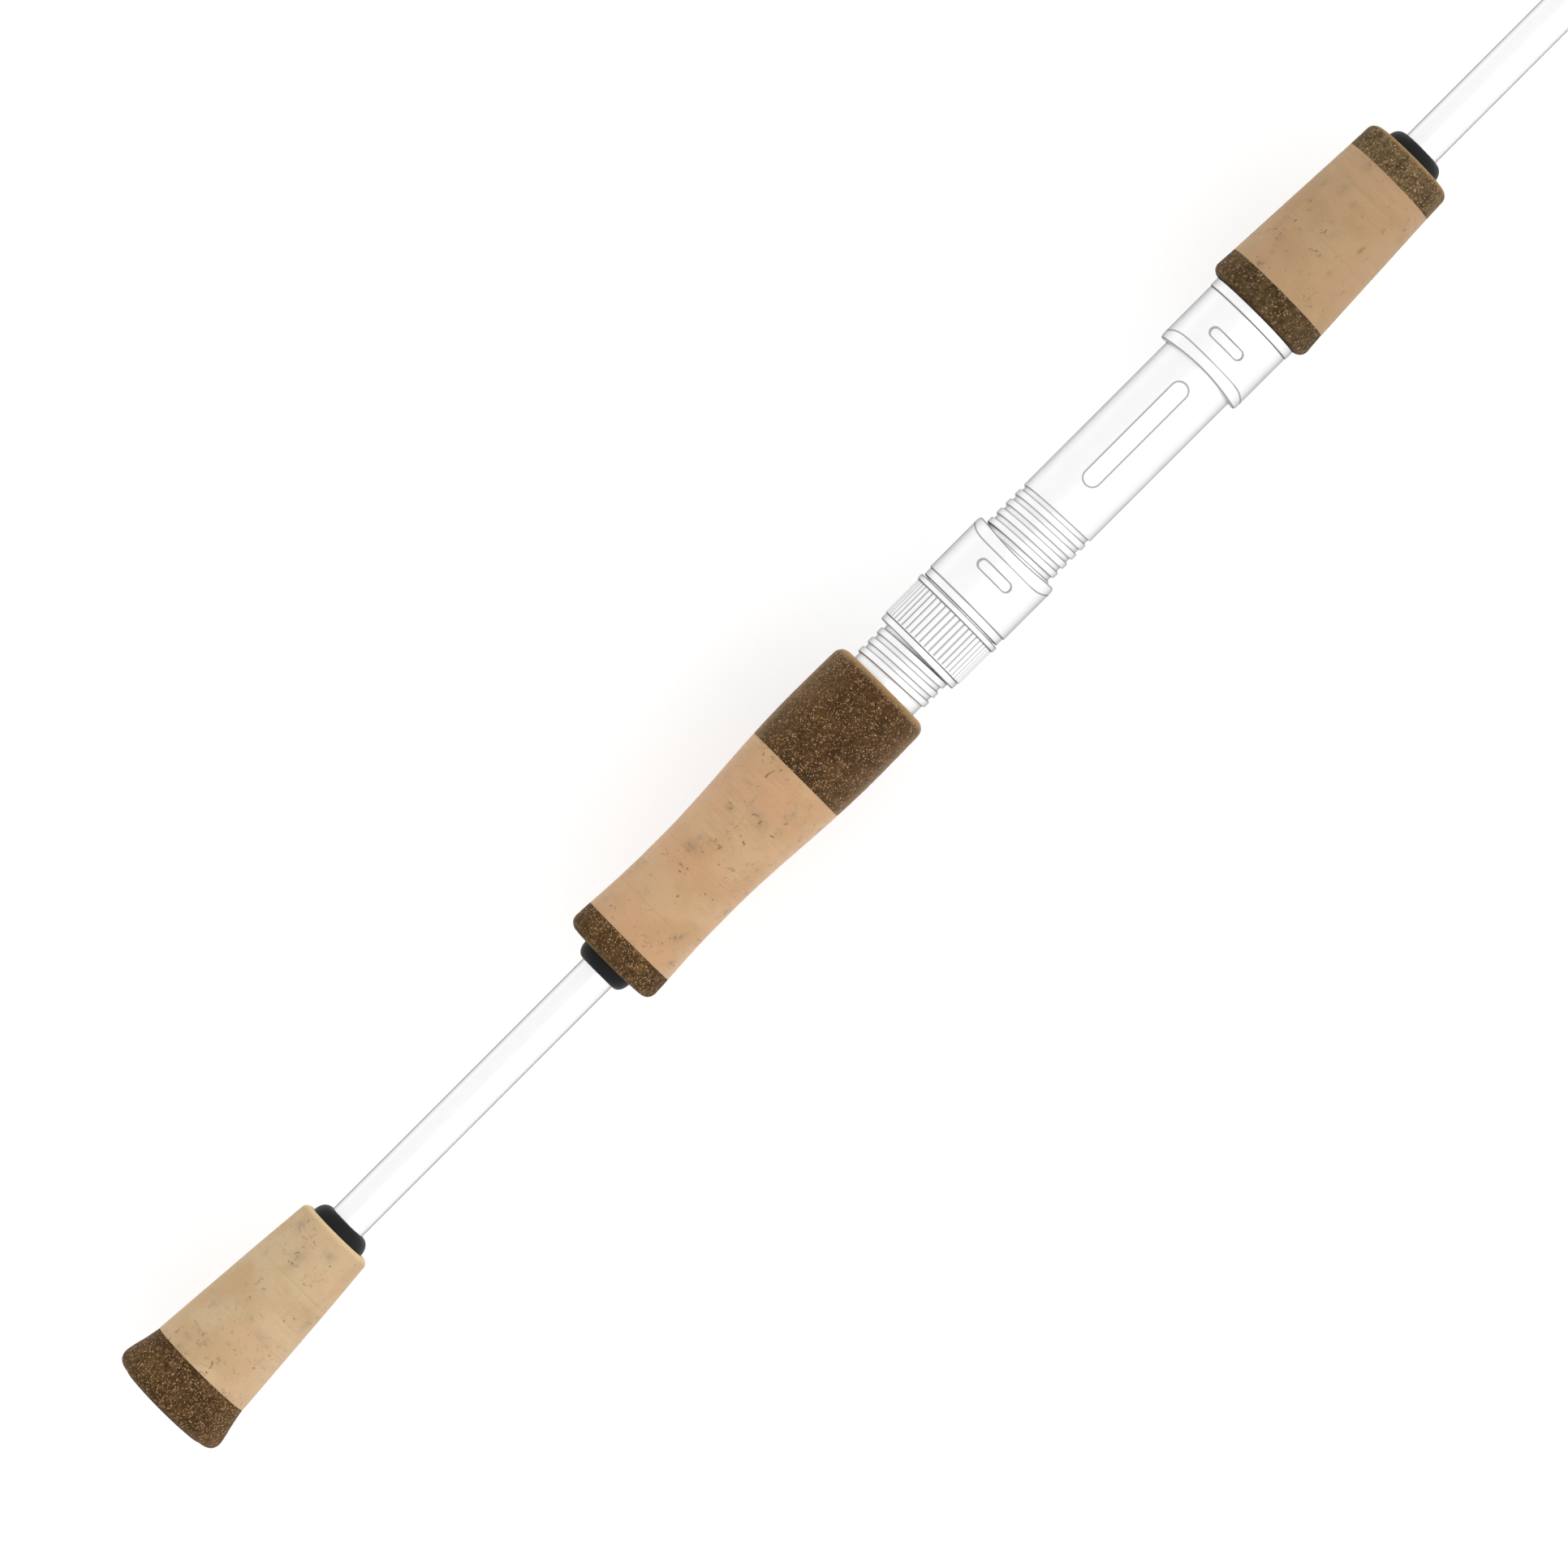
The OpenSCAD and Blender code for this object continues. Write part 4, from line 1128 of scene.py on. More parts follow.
@dataclass
class ButtGrip(Grip):
    """The flared butt grip: a burl cap and three cork rings that taper forwards."""

    cap_front: float = 10.7
    front: float = 48.3
    flare: float = 12.98
    cork_rear_r: float = 11.42
    cork_front_r: float = 8.5

    def stretch(self, x0: float, x1: float) -> np.ndarray:
        """The taper between two stations, with a rounded front end.

        Args:
            x0: The rear station.
            x1: The front station.

        Returns:
            Rows of x and radius.
        """
        r0, r1 = np.interp([x0, x1], [self.cap_front, self.front], [self.cork_rear_r, self.cork_front_r])
        if x1 < self.front:
            return np.array([[x0, r0], [x1, r1]])
        return np.concatenate([[[x0, r0]], self.corner(x1, r1, 1.4, 90.0, 0.0)])

    def rings(self) -> list[GripRing]:
        """The butt cap and its three cork rings.

        Returns:
            The rings, from the butt forwards.
        """
        cap = np.concatenate([
            [[0.0, 0.0], [0.0, 8.0], [0.16, self.edge_r]], self.corner(0.5, self.flare, 2.3, 180.0, 90.0),
            [[3.2, 12.95], [4.0, 12.82], [5.2, 12.55], [6.3, 12.27], [7.9, 11.90], [9.5, 11.58]],
            [[self.cap_front, self.cork_rear_r - 0.05]],
        ])
        stations = np.linspace(self.cap_front, self.front, 4)
        return [
            # The butt cap's seam stations paint shade on its rear edge; they are no glued seams.
            GripRing("butt_cap_burl", Finish.BURL_CORK, cap, 11, blind=4.0, seams=(0.0, 0.22, 0.42)),
            # The last butt cork ring gets a painted highlight on its front rim.
            *self.cork("butt", Finish.BUTT_CORK, stations, 21, (5, 5, 5), BUTT_MARKS, self.front),
        ]


@dataclass
class RearGrip(Grip):
    """The waisted rear grip: a burl ring, four cork rings and a long burl collar."""

    seams: tuple[float, ...] = (128.7, 136.5, 149.2, 161.9, 174.6)
    rear: float = 122.7
    front: float = 198.9
    contour: tuple[tuple[float, float], ...] = (
        (122.7, 10.95), (126.4, 10.9), (129.6, 10.67), (132.7, 10.46), (135.9, 10.3), (139.0, 10.18),
        (142.2, 10.11), (148.5, 10.11), (151.7, 10.14), (154.8, 10.27), (158.0, 10.43), (161.2, 10.62),
        (164.3, 10.84), (167.5, 11.06), (170.6, 11.28), (173.8, 11.46), (177.0, 11.62), (180.1, 11.72),
        (183.3, 11.78), (188.0, 11.78), (192.8, 11.72), (198.9, 11.62),
    )

    def radius(self, x: np.ndarray) -> np.ndarray:
        """The contour at x, averaged over 3 mm so that it runs smooth."""
        nearby = x[:, None] + np.linspace(-1.5, 1.5, 13)
        return np.interp(nearby, *np.array(self.contour).T).mean(axis=1) - 0.01

    def stretch(self, x0: float, x1: float) -> np.ndarray:
        """Points of the contour between two stations."""
        x = np.linspace(x0, x1, max(2, int((x1 - x0) / 0.8) + 1))
        return np.stack([x, self.radius(x)], axis=-1)

    def rings(self) -> list[GripRing]:
        """The burl ring, the four cork rings and the collar.

        Returns:
            The rings, from the butt forwards.
        """
        rear_r, front_r = (float(self.radius(np.array([x]))[0]) for x in (self.rear + 2.1, self.front))
        rear = np.concatenate([
            [[self.rear, 6.0], [self.rear + 0.12, 8.2]],
            self.corner(self.rear + 0.2, rear_r, 2.1, 180.0, 90.0),
            self.stretch(self.rear + 2.6, self.seams[0]),
        ])
        collar = np.concatenate([
            self.stretch(self.seams[4], self.front - 2.3), self.corner(self.front, front_r, 2.2, 90.0, 0.0),
        ])
        # Painted highlight on the collar's front rim.
        rim = (self.front - 1.5, self.front - 0.25)
        return [
            GripRing("rear_burl_ring", Finish.BURL_CORK, rear, 31),
            *self.cork("rear", Finish.NATURAL_CORK, self.seams, 41, (7, 7, 7, 7), REAR_MARKS),
            GripRing("rear_burl_collar", Finish.COLLAR_BURL, collar, 51, rim=rim),
        ]


@dataclass
class ForeGrip(Grip):
    """The tapered fore grip: cork rings between two lighter burl rings."""

    rear: float = 301.4
    front: float = 344.4
    seams: tuple[float, ...] = (307.5, 320.2, 332.9, 338.1)
    rear_r: float = 12.28
    front_r: float = 10.33

    def stretch(self, x0: float, x1: float) -> np.ndarray:
        """The taper between two stations."""
        x = np.array([x0, x1])
        return np.stack([x, np.interp(x, [self.rear, 341.0], [self.rear_r, self.front_r])], axis=-1)

    def rings(self) -> list[GripRing]:
        """The rear burl ring, the three cork rings and the front burl ring.

        Returns:
            The rings, from the butt forwards.
        """
        first, last = self.stretch(self.seams[0], self.seams[3])
        rear = np.concatenate([self.corner(self.rear, self.rear_r, 2.0, 180.0, 90.0), [first]])
        front = np.concatenate([[last], self.corner(self.front, self.front_r, 2.0, 90.0, 0.0)])
        # Painted highlight on the front burl ring's rim.
        rim = (self.front - 0.9, self.front - 0.2)
        return [
            # The seam station paints shade on this ring's rear edge beside the seat.
            GripRing("fore_burl_ring_rear", Finish.FORE_BURL, rear, 61, seams=(self.rear + 0.1,)),
            *self.cork("fore", Finish.FORE_CORK, self.seams, 71, (7, 7, 3), FORE_MARKS),
            GripRing("fore_burl_ring_front", Finish.LIGHT_BURL, front, 81, rim=rim),
        ]


@dataclass
class WindingCheck:
    """A domed rubber collar that covers the end of a grip."""

    node: str
    base_x: float
    lip_x: float
    base_r: float = 6.4
    lip_r: float = 4.15
    bore: float = 3.95

    def build(self, wardrobe: Wardrobe) -> None:
        """Makes the check: a quarter ellipse from the base to the lip, turned about the rod.

        Args:
            wardrobe: What dresses the pieces.
        """
        length = self.lip_x - self.base_x
        dome = arc(0.0, self.lip_r + 0.06, length, self.base_r - self.lip_r - 0.06, 90.0, 0.0, 28)
        inside = [[self.lip_x, self.bore], [self.base_x, self.bore]]
        outline = np.concatenate([dome + [self.base_x, 0.0], inside])
        made = revolve(subdivide(outline, 0.4), 192)
        made = made if length > 0 else made.flipped()
        wardrobe.dress(made.to_object(f"check_{self.node}"), Finish.CHECK_RUBBER, self.node)


# --------------------------------------------------------------------------- reel seat


@dataclass
class SeatBarrel:
    """The seat's tube: a right-handed thread at the rear, a bed for the reel's foot beneath and
    a long recess on top."""

    rear: float = 192.9
    collar: float = 198.9
    split: float = 252.6
    front: float = 301.4
    crest: float = 8.5
    root: float = 8.0
    bore: float = 5.75
    pitch: float = 2.54
    first_crest: float = 201.0
    rise: float = 0.25
    last_groove: float = 18.65
    core: float = 7.0
    key_z: float = 7.7
    bed_z: float = 7.5
    bed: tuple[float, float] = (237.5, 284.0)
    key_end: float = 291.3
    recess: tuple[float, float] = (254.1, 282.0)
    recess_width: float = 4.06
    columns: int = 256

    def flattened(self, x: np.ndarray, a: np.ndarray, r: float | np.ndarray) -> np.ndarray:
        """Cuts the underside flat: the radius is at most depth / -sin a, where z = r sin a.

        Args:
            x: Stations.
            a: Angles.
            r: Radii before the cut.

        Returns:
            The radii after it.
        """
        depth = np.where((x >= self.bed[0]) & (x <= self.bed[1]), self.bed_z, self.key_z)
        below = np.clip(-np.sin(a), 1e-6, None)
        return np.minimum(r, np.where((x > self.collar) & (x < self.key_end), depth / below, 1e3))

    def threaded(self) -> Surface:
        """The thread. Rows follow the helix x = first crest + pitch (turn + a / 2 pi) + phase; the
        ridge's section has rounded corners. The ridge rises in the quarter turn before the first
        crest, and the last groove runs out beneath the tube.

        Returns:
            A closed sleeve between the collar and the smooth tube.
        """
        # The last column paints shade: a grey line on the thread's flanks, where shade falls between the
        # turns.
        flank = np.array([  # distance from the crest's middle, drop, drawn line
            [-1.27, 1.0, 0.0], [-0.86, 1.0, 0.8], [-0.78, 0.92, 1.0], [-0.72, 0.55, 1.0],
            [-0.67, 0.22, 1.0], [-0.60, 0.06, 0.7], [-0.50, 0.0, 0.0],
        ])
        ridge = np.concatenate([flank, flank[:0:-1] * [-1.0, 1.0, 1.0]])
        turns = np.arange(-2, int((self.split - self.first_crest) / self.pitch) + 2)
        phase, drop, mark = (np.tile(column, len(turns))[:, None] for column in ridge.T)
        a = angles(self.columns)
        turn = np.repeat(turns, len(ridge))[:, None] + a / TURN
        raised = np.clip((turn + self.rise) / self.rise, 0.0, 1.0)
        raised = raised * raised * (3.0 - 2.0 * raised)
        opened = np.clip((self.last_groove - turn - (phase > 0)) / 0.15, 0.0, 1.0)
        deep = 1.0 - raised * (1.0 - drop * opened)
        x = np.clip(self.first_crest + self.pitch * turn + phase, self.collar, self.split)
        r = self.flattened(x, a, self.crest - (self.crest - self.root) * deep)
        # Painted shade on the flanks.
        edge = 0.45 * mark * raised * opened * (r > self.root - 0.2)
        sleeve = around(x, r, a, False, len(ridge), edge=edge)
        ends = np.array([self.split, self.split, self.collar, self.collar])[:, None]
        r = self.flattened(ends, a, np.array([self.crest, self.core, self.core, self.root])[:, None])
        r[1:3] = self.core
        return sleeve.joined(around(ends, r, a, False))

    def plain(self) -> Surface:
        """The smooth tube: its outside, the bore, the spigot in the grip's collar, and a core that
        carries the thread.

        Returns:
            A closed surface.
        """
        outside = subdivide([[self.split, self.crest], [self.front, self.crest]], 0.5)
        steps = [c + d for c in (*self.bed, self.key_end) if c > self.split for d in (-0.005, 0.005)]
        at = np.searchsorted(outside[:, 0], steps)
        outside = np.insert(outside, at, [[c, self.crest] for c in steps], axis=0)
        core = self.core - 0.01
        rest = [[self.front, self.bore], [self.rear, self.bore], [self.rear, self.root],
                [self.collar - 0.01, self.root], [self.collar - 0.01, core], [self.split, core]]
        outline = np.concatenate([outside, subdivide(rest, 6.0)])
        n, a = len(outside), angles(self.columns)
        r = np.repeat(outline[:, 1:2], self.columns, axis=1)
        r[:n] = self.flattened(outline[:n, :1], a, r[:n])
        return around(outline[:, :1], r, a)

    def build(self, wardrobe: Wardrobe) -> None:
        """Makes the thread and the smooth tube with its recess.

        Args:
            wardrobe: What dresses the pieces.
        """
        slot = SlotShape(sum(self.recess) / 2, self.recess[1] - self.recess[0], self.recess_width, False)
        for made, finish in (
            (self.threaded().to_object("seat_thread"), Finish.SEAT_PLASTIC),
            (cut_away(self.plain().to_object("seat_tube"), slot.prism(8.12, 12.0)), Finish.SEAT_PLASTIC),
            # The recess trim is painted shade that outlines the recess.
            (slot.bead(self.crest, 0.32, 0.26).to_object("seat_recess_trim"), Finish.LINER_PLASTIC),
        ):
            wardrobe.dress(made, finish, "seat_barrel")


@dataclass
class SlotShape:
    """A slot with round ends on the +Z side of the seat."""

    x: float
    length: float
    width: float
    across: bool
    end_points: int = 20

    def outline(self) -> tuple[np.ndarray, np.ndarray]:
        """The slot's outline, two half circles joined by straights, and its outward directions.

        Returns:
            The points, and the direction at each.
        """
        n = self.end_points
        t = np.radians(np.concatenate([np.linspace(-90, 90, n), np.linspace(90, 270, n)]))
        out = np.stack([np.cos(t), np.sin(t)], axis=-1)
        half = (self.length - self.width) / 2
        p = out * self.width / 2 + np.repeat([[half, 0.0], [-half, 0.0]], n, axis=0)
        if self.across:
            p, out = p[:, ::-1] * [1, -1], out[:, ::-1] * [1, -1]
        return p + [self.x, 0.0], out

    def prism(self, low: float, high: float) -> Surface:
        """The slot as a closed block between two heights.

        Args:
            low: The lower height.
            high: The upper height.

        Returns:
            The block.
        """
        p, _ = self.outline()
        n, i = len(p), np.arange(len(p))
        points = np.concatenate([np.column_stack([p, np.full(n, z)]) for z in (low, high)])
        sides = np.stack([i, (i + 1) % n, (i + 1) % n + n, i + n], axis=-1)
        return Surface(points, [sides, i[None, ::-1], (i + n)[None, :]])

    def laid(
        self, xy: np.ndarray, radius: float, lift: np.ndarray, closed: bool, **values: float
    ) -> Surface:
        """Lays rows of points on a round part, at sqrt(radius^2 - y^2) + lift.

        Args:
            xy: Rows of points seen from above.
            radius: The round part's radius.
            lift: Height over the round part.
            closed: Whether the last row joins the first.
            values: Named values, each the same on every point.

        Returns:
            A closed surface.
        """
        z = np.sqrt(radius**2 - xy[..., 1] ** 2) + lift
        points = np.concatenate([xy, z[..., None]], axis=-1).reshape(-1, 3)
        faces = grid_faces(xy.shape[0], xy.shape[1], closed)
        flat = {name: np.full(len(points), value) for name, value in values.items()}
        return Surface(points, [faces], flat).flipped()

    def bead(self, radius: float, width: float, depth: float) -> Surface:
        """A thin trim round the slot's mouth: a small rounded section carried round the outline, grey all
        over as painted shade that outlines the slot.

        Args:
            radius: The radius of the part that the slot is cut in.
            width: The trim's width.
            depth: How deep it reaches.

        Returns:
            A closed surface.
        """
        p, out = self.outline()
        aside = np.array([0.04, 0.04, 0.0, 0.02 - width, -width, -width])
        lift = np.array([-depth, -0.02, 0.02, 0.02, -0.03, -depth])
        # The whole trim is painted shade grey.
        return self.laid(p[:, None] + out[:, None] * aside[None, :, None], radius, lift[None], True, edge=1.0)

    def plate(self, radius: float, thickness: float) -> Surface:
        """A plate that fills the slot.

        Args:
            radius: The radius of its top.
            thickness: How thick it is.

        Returns:
            A closed surface.
        """
        p, _ = self.outline()
        centre = np.array([self.x, 0.0])
        shares = np.array([0.0, 0.35, 0.7, 0.97, 1.0, 1.0, 0.0])[:, None, None]
        sink = np.array([0.0, 0.0, 0.0, 0.0, 0.03, thickness, thickness])[:, None]
        return self.laid(centre + (p - centre)[None] * shares, radius, -sink, False)


@dataclass
class Hood:
    """A hood that clamps the reel's foot: a metal shell over a plastic liner, swollen beneath
    round the foot's pocket, with its mouth swept back above and below."""

    name: str
    mouth: float
    facing: int
    window_x: float
    window: tuple[float, float] = (2.55, 8.8)
    length: float = 13.9
    outer: float = 10.15
    wall: float = 0.6
    bore: float = 8.58
    key_z: float = 7.78
    pocket_z: float = -7.4
    pocket_r: float = 5.4
    pocket_wall: float = 0.9
    straight: float = 6.0
    taper: float = 6.2
    sweep: float = 56.0
    columns: int = 360

    def swelling(self, u: np.ndarray, a: np.ndarray, wall: float) -> np.ndarray:
        """Where a ray from the rod's centre leaves the swelling: p + sqrt(p^2 - z0^2 + R^2), p
        being the ray's share of the swelling's centre z0; 0 where it misses.

        Args:
            u: Distance behind the mouth.
            a: Angle round the rod.
            wall: What is added to the pocket's radius.

        Returns:
            The radius.
        """
        slope = (self.pocket_r - 2.0) / (self.taper + wall)
        r = self.pocket_r + wall - slope * np.clip(u - self.straight, 0.0, None)
        p = np.sin(a) * self.pocket_z
        inside = p * p - self.pocket_z**2 + np.clip(r, 0.0, None) ** 2
        return np.where((inside > 0) & (p > 0), p + np.sqrt(np.clip(inside, 0.0, None)), 0.0)

    def outside(self, u: np.ndarray, a: np.ndarray, inset: float) -> np.ndarray:
        """The hood's outside, less inset: the tube and the swelling, with a fillet between.

        Args:
            u: Distance behind the mouth.
            a: Angle round the rod.
            inset: What is taken off all round.

        Returns:
            The radius.
        """
        tube_r = np.full(np.broadcast(u, a).shape, self.outer - inset)
        swell = self.swelling(u, a, self.pocket_wall + self.wall - inset)
        return np.minimum(soft_max(tube_r, swell, 1.4), np.maximum(tube_r + 0.35, swell))

    def stood(self, u: np.ndarray, r: np.ndarray, a: np.ndarray, edge: np.ndarray) -> Surface:
        """Puts rows of distance u behind the mouth and radius in place; the mouth is drawn back by
        z^2 / (2 sweep), which dies away 4 mm behind it.

        Args:
            u: Distance behind the mouth.
            r: Radius.
            a: Angle.
            edge: Painted shade lines.

        Returns:
            A closed surface.
        """
        back = (r * np.sin(a)) ** 2 / (2 * self.sweep) * np.clip(1.0 - u / 4.0, 0.0, 1.0) ** 2
        made = around(self.mouth - self.facing * (u + back), r, a, edge=edge)
        return made if self.facing > 0 else made.flipped()

    def shell(self) -> Surface:
        """The metal shell, its lip rounded over. Painted shade lines run at the mouth, at the rear end and
        where the lip's roll begins; the last runs 1.56 mm behind the mouth at the sides and swings to 3.06 mm
        on top and beneath, as 1 - |cos a|^8.

        Returns:
            A closed surface.
        """
        end = self.length
        u = np.concatenate([
            [0.0, 0.03, 0.08, 0.15, 0.25, 0.4, 0.6, 0.9, 1.2], np.arange(1.36, 3.3, 0.08),
            np.arange(3.5, end - 0.2, 0.25), [end - 0.16, end - 0.1, end - 0.04, end],
        ])[::-1, None]
        a = angles(self.columns)
        round_over = 0.5 * (1.0 - np.sqrt(np.clip(1.0 - np.clip(1.0 - u / 0.9, 0, 1) ** 2, 0, 1)))
        tail_over = 0.14 * np.clip((u - end + 0.16) / 0.16, 0, 1) ** 2
        r = self.outside(u, a, 0.0) - round_over - tail_over
        line = 1.56 + 1.5 * (1.0 - np.abs(np.cos(a)) ** 8)
        # Painted shade: grey lines at the mouth, behind the lip and at the rear end.
        edge = np.maximum(band(u, line, 0.13, 0.08), np.maximum(band(u, 0.03, 0.10), band(u, end, 0.12)))
        inner_u = np.array([0.0, 0.5, 2.0, 4.0, 6.0, 8.0, 10.0, 12.0, end])[:, None]
        inner = self.outside(inner_u, a, self.wall)
        rows = [np.concatenate(pair) for pair in ((u, inner_u), (r, inner), (edge, 0 * inner))]
        return self.stood(rows[0], rows[1], a, rows[2])

    def liner(self) -> Surface:
        """The plastic liner: it lines the shell and leaves the bore with its flat key, and the
        pocket.

        Returns:
            A closed surface.
        """
        outer_u = np.array([self.length, 10.0, 6.0, 3.0, 1.0, 0.3, 0.12])[:, None]
        a = angles(self.columns)
        outer = self.outside(outer_u, a, self.wall) - 0.01
        near = [0.05, 0.12, 0.3, 0.8]
        inner_u = np.concatenate([near, np.arange(1.5, self.length, 0.6), [self.length]])[:, None]
        bore = np.minimum(self.bore, self.key_z / np.clip(-np.sin(a), 1e-6, None))
        inner = np.maximum(bore, self.swelling(inner_u, a, 0.0))
        inner += 0.25 * np.clip(1.0 - inner_u / 0.3, 0, 1) ** 2
        edge = np.zeros((len(outer_u) + len(inner_u), 1))
        # Painted shade: a grey line on the liner's mouth.
        edge[len(outer_u) : len(outer_u) + 2] = 0.8
        return self.stood(np.concatenate([outer_u, inner_u]), np.concatenate([outer, inner]), a, edge)

    def build(self, wardrobe: Wardrobe) -> None:
        """Makes the shell with its window, the liner and the liner's key in the window.

        Args:
            wardrobe: What dresses the pieces.
        """
        slot = SlotShape(self.window_x, self.window[1], self.window[0], True)
        shell = cut_away(self.shell().to_object(f"{self.name}_shell", 50.0), slot.prism(6.0, 12.0), 50.0)
        wardrobe.dress(shell, Finish.HOOD_METAL, f"{self.name}_shell")
        for part, made, finish in (
            ("liner", self.liner(), Finish.LINER_PLASTIC),
            ("window_key", slot.plate(self.outer - 0.22, 0.8), Finish.HOOD_METAL),
            # The window trim is painted shade that outlines the window.
            ("window_trim", slot.bead(self.outer, 0.3, 0.3), Finish.LINER_PLASTIC),
        ):
            wardrobe.dress(made.to_object(f"{self.name}_{part}"), finish, f"{self.name}_liner")


@dataclass
class SeatRing:
    """A plain turned ring of the seat, with painted shade lines at given stations of its outside."""

    name: str
    node: str
    outline: tuple[tuple[float, float], ...]
    lines: tuple[float, float]
    outside_r: float = 9.25

    def build(self, wardrobe: Wardrobe) -> None:
        """Makes and dresses the ring.

        Args:
            wardrobe: What dresses the pieces.
        """
        outline = subdivide([*self.outline, self.outline[0]], 0.12)[:-1]
        # Painted shade lines at the ring's edges.
        edge = shade_lines_at(outline[:, :1], self.lines) * (outline[:, 1:2] > self.outside_r)
        wardrobe.dress(revolve(outline, 240, edge=edge).to_object(self.name), Finish.HOOD_METAL, self.node)


@dataclass
class LockNut:
    """The knurled nut that drives the sliding hood along the thread."""

    rear: float = 207.9
    knurl: tuple[float, float] = (209.45, 218.5)
    front: float = 219.7
    radii: tuple[float, float, float] = (9.8, 10.05, 10.33)
    bore: float = 8.58
    flutes: int = 48
    per_flute: int = 12
    depth: float = 0.26

    def build(self, wardrobe: Wardrobe) -> None:
        """Makes the nut: collars with rounded edges, and flutes (0.5 + 0.5 cos)^3 deep between.

        Args:
            wardrobe: What dresses the pieces.
        """
        rear_r, knurl_r, front_r = self.radii
        k0, k1 = self.knurl
        outside = np.concatenate([
            arc(self.rear + 0.35, rear_r - 0.35, 0.35, 0.35, 180, 90, 6),
            [[k0 - 0.16, rear_r], [k0 - 0.06, rear_r - 0.10], [k0, rear_r - 0.12]],
            [[k0 + 0.03, knurl_r - 0.16]],
            arc(k0 + 0.22, knurl_r - 0.16, 0.19, 0.16, 180, 90, 5),
            [[k1 - 0.1, knurl_r], [k1 - 0.02, knurl_r - 0.05]],
            arc(k1 + 0.25, front_r - 0.2, 0.25, 0.2, 180, 90, 5),
            arc(self.front - 0.25, front_r - 0.25, 0.25, 0.25, 90, 0, 6),
        ])
        inside = [[self.front, 9.08], [216.5, 9.08], [216.5, 9.28], [214.9, 9.28], [214.9, self.bore],
                  [self.rear, self.bore]]
        rear_face = subdivide([inside[-1], outside[0]], 0.4)[1:-1]
        outline = np.concatenate([subdivide(outside, 0.25), np.array(inside), rear_face])
        columns = self.flutes * self.per_flute
        wave = 0.5 + 0.5 * np.cos(angles(columns) * self.flutes)
        x, outer = outline[:, :1], outline[:, 1:2] > 9.5
        along = np.clip(np.minimum(x - k0 - 0.1, k1 - 0.08 - x) / 0.25, 0.0, 1.0) * outer
        # Painted shade: grey lines at the collars' edges and along the flutes' bottoms.
        lines = shade_lines_at(x, (self.rear + 0.1, k0, k1, self.front - 0.1)) * outer
        edge = np.maximum(lines, np.clip(wave**5 * 1.1, 0, 1) * along)
        made = revolve(outline, columns, relief=-self.depth * wave**3 * along, edge=edge)
        wardrobe.dress(made.to_object("lock_nut_body", 55.0), Finish.HOOD_METAL, "lock_nut")


# --------------------------------------------------------------------------- blank and guides


@dataclass
class Blank:
    """The rod's two tapered tubes, joined by a slip joint."""

    grip_r: float = 3.95
    taper_x: float = 390.0
    tip_x: float = 1674.2
    tip_r: float = 0.85
    joint_x: float = 825.0
    overlap: float = 55.0
    socket_r: float = 3.55
    gap: float = 0.03
    rear: float = 4.0
    row_step: float = 12.0
    columns: int = 96

    def butt_r(self, x: float | np.ndarray) -> float | np.ndarray:
        """Radius of the butt section's taper at x."""
        return np.interp(x, [0.0, self.taper_x, self.tip_x], [self.grip_r, self.grip_r, self.tip_r])

    def surface_r(self, x: float | np.ndarray) -> float | np.ndarray:
        """Radius of the rod's outside at x."""
        tip = np.interp(x, [self.joint_x, self.tip_x], [self.socket_r, self.tip_r])
        return np.where(np.asarray(x) < self.joint_x, self.butt_r(x), tip)

    def build(self, wardrobe: Wardrobe) -> None:
        """Makes both sections and the wrap at the joint's mouth.

        Args:
            wardrobe: What dresses the pieces.
        """
        end, joint = self.joint_x + self.overlap, self.joint_x
        end_r, deep = float(self.butt_r(end)), end + 1.0
        x = np.unique(np.concatenate([np.arange(self.rear, end, self.row_step), [self.taper_x, end]]))
        inner = [[end, end_r - 0.25], [end, end_r - 0.85], [self.taper_x, 3.1], [self.rear, 3.1]]
        butt = revolve(np.concatenate([np.stack([x, self.butt_r(x)], axis=-1), inner]), self.columns)
        x = np.concatenate([[joint + 0.12], np.arange(joint + 1, self.tip_x, self.row_step), [self.tip_x]])
        inner = [
            [self.tip_x, self.tip_r - 0.5], [deep, self.surface_r(deep) - 0.7],
            [deep, self.butt_r(deep) + self.gap], [joint, self.butt_r(joint) + self.gap],
            [joint, self.socket_r - 0.14],
        ]
        tip = revolve(np.concatenate([np.stack([x, self.surface_r(x)], axis=-1), inner]), self.columns)
        wrap = Wrap(self, joint + 0.1, joint + 18.0, 0.28).surface()
        wardrobe.dress(butt.to_object("blank_butt"), Finish.BLANK_GLOSS, "blank_butt_section")
        wardrobe.dress(tip.to_object("blank_tip"), Finish.BLANK_GLOSS, "blank_tip_section")
        wardrobe.dress(wrap.to_object("joint_wrap"), Finish.THREAD_WRAP, "ferrule_wrap")


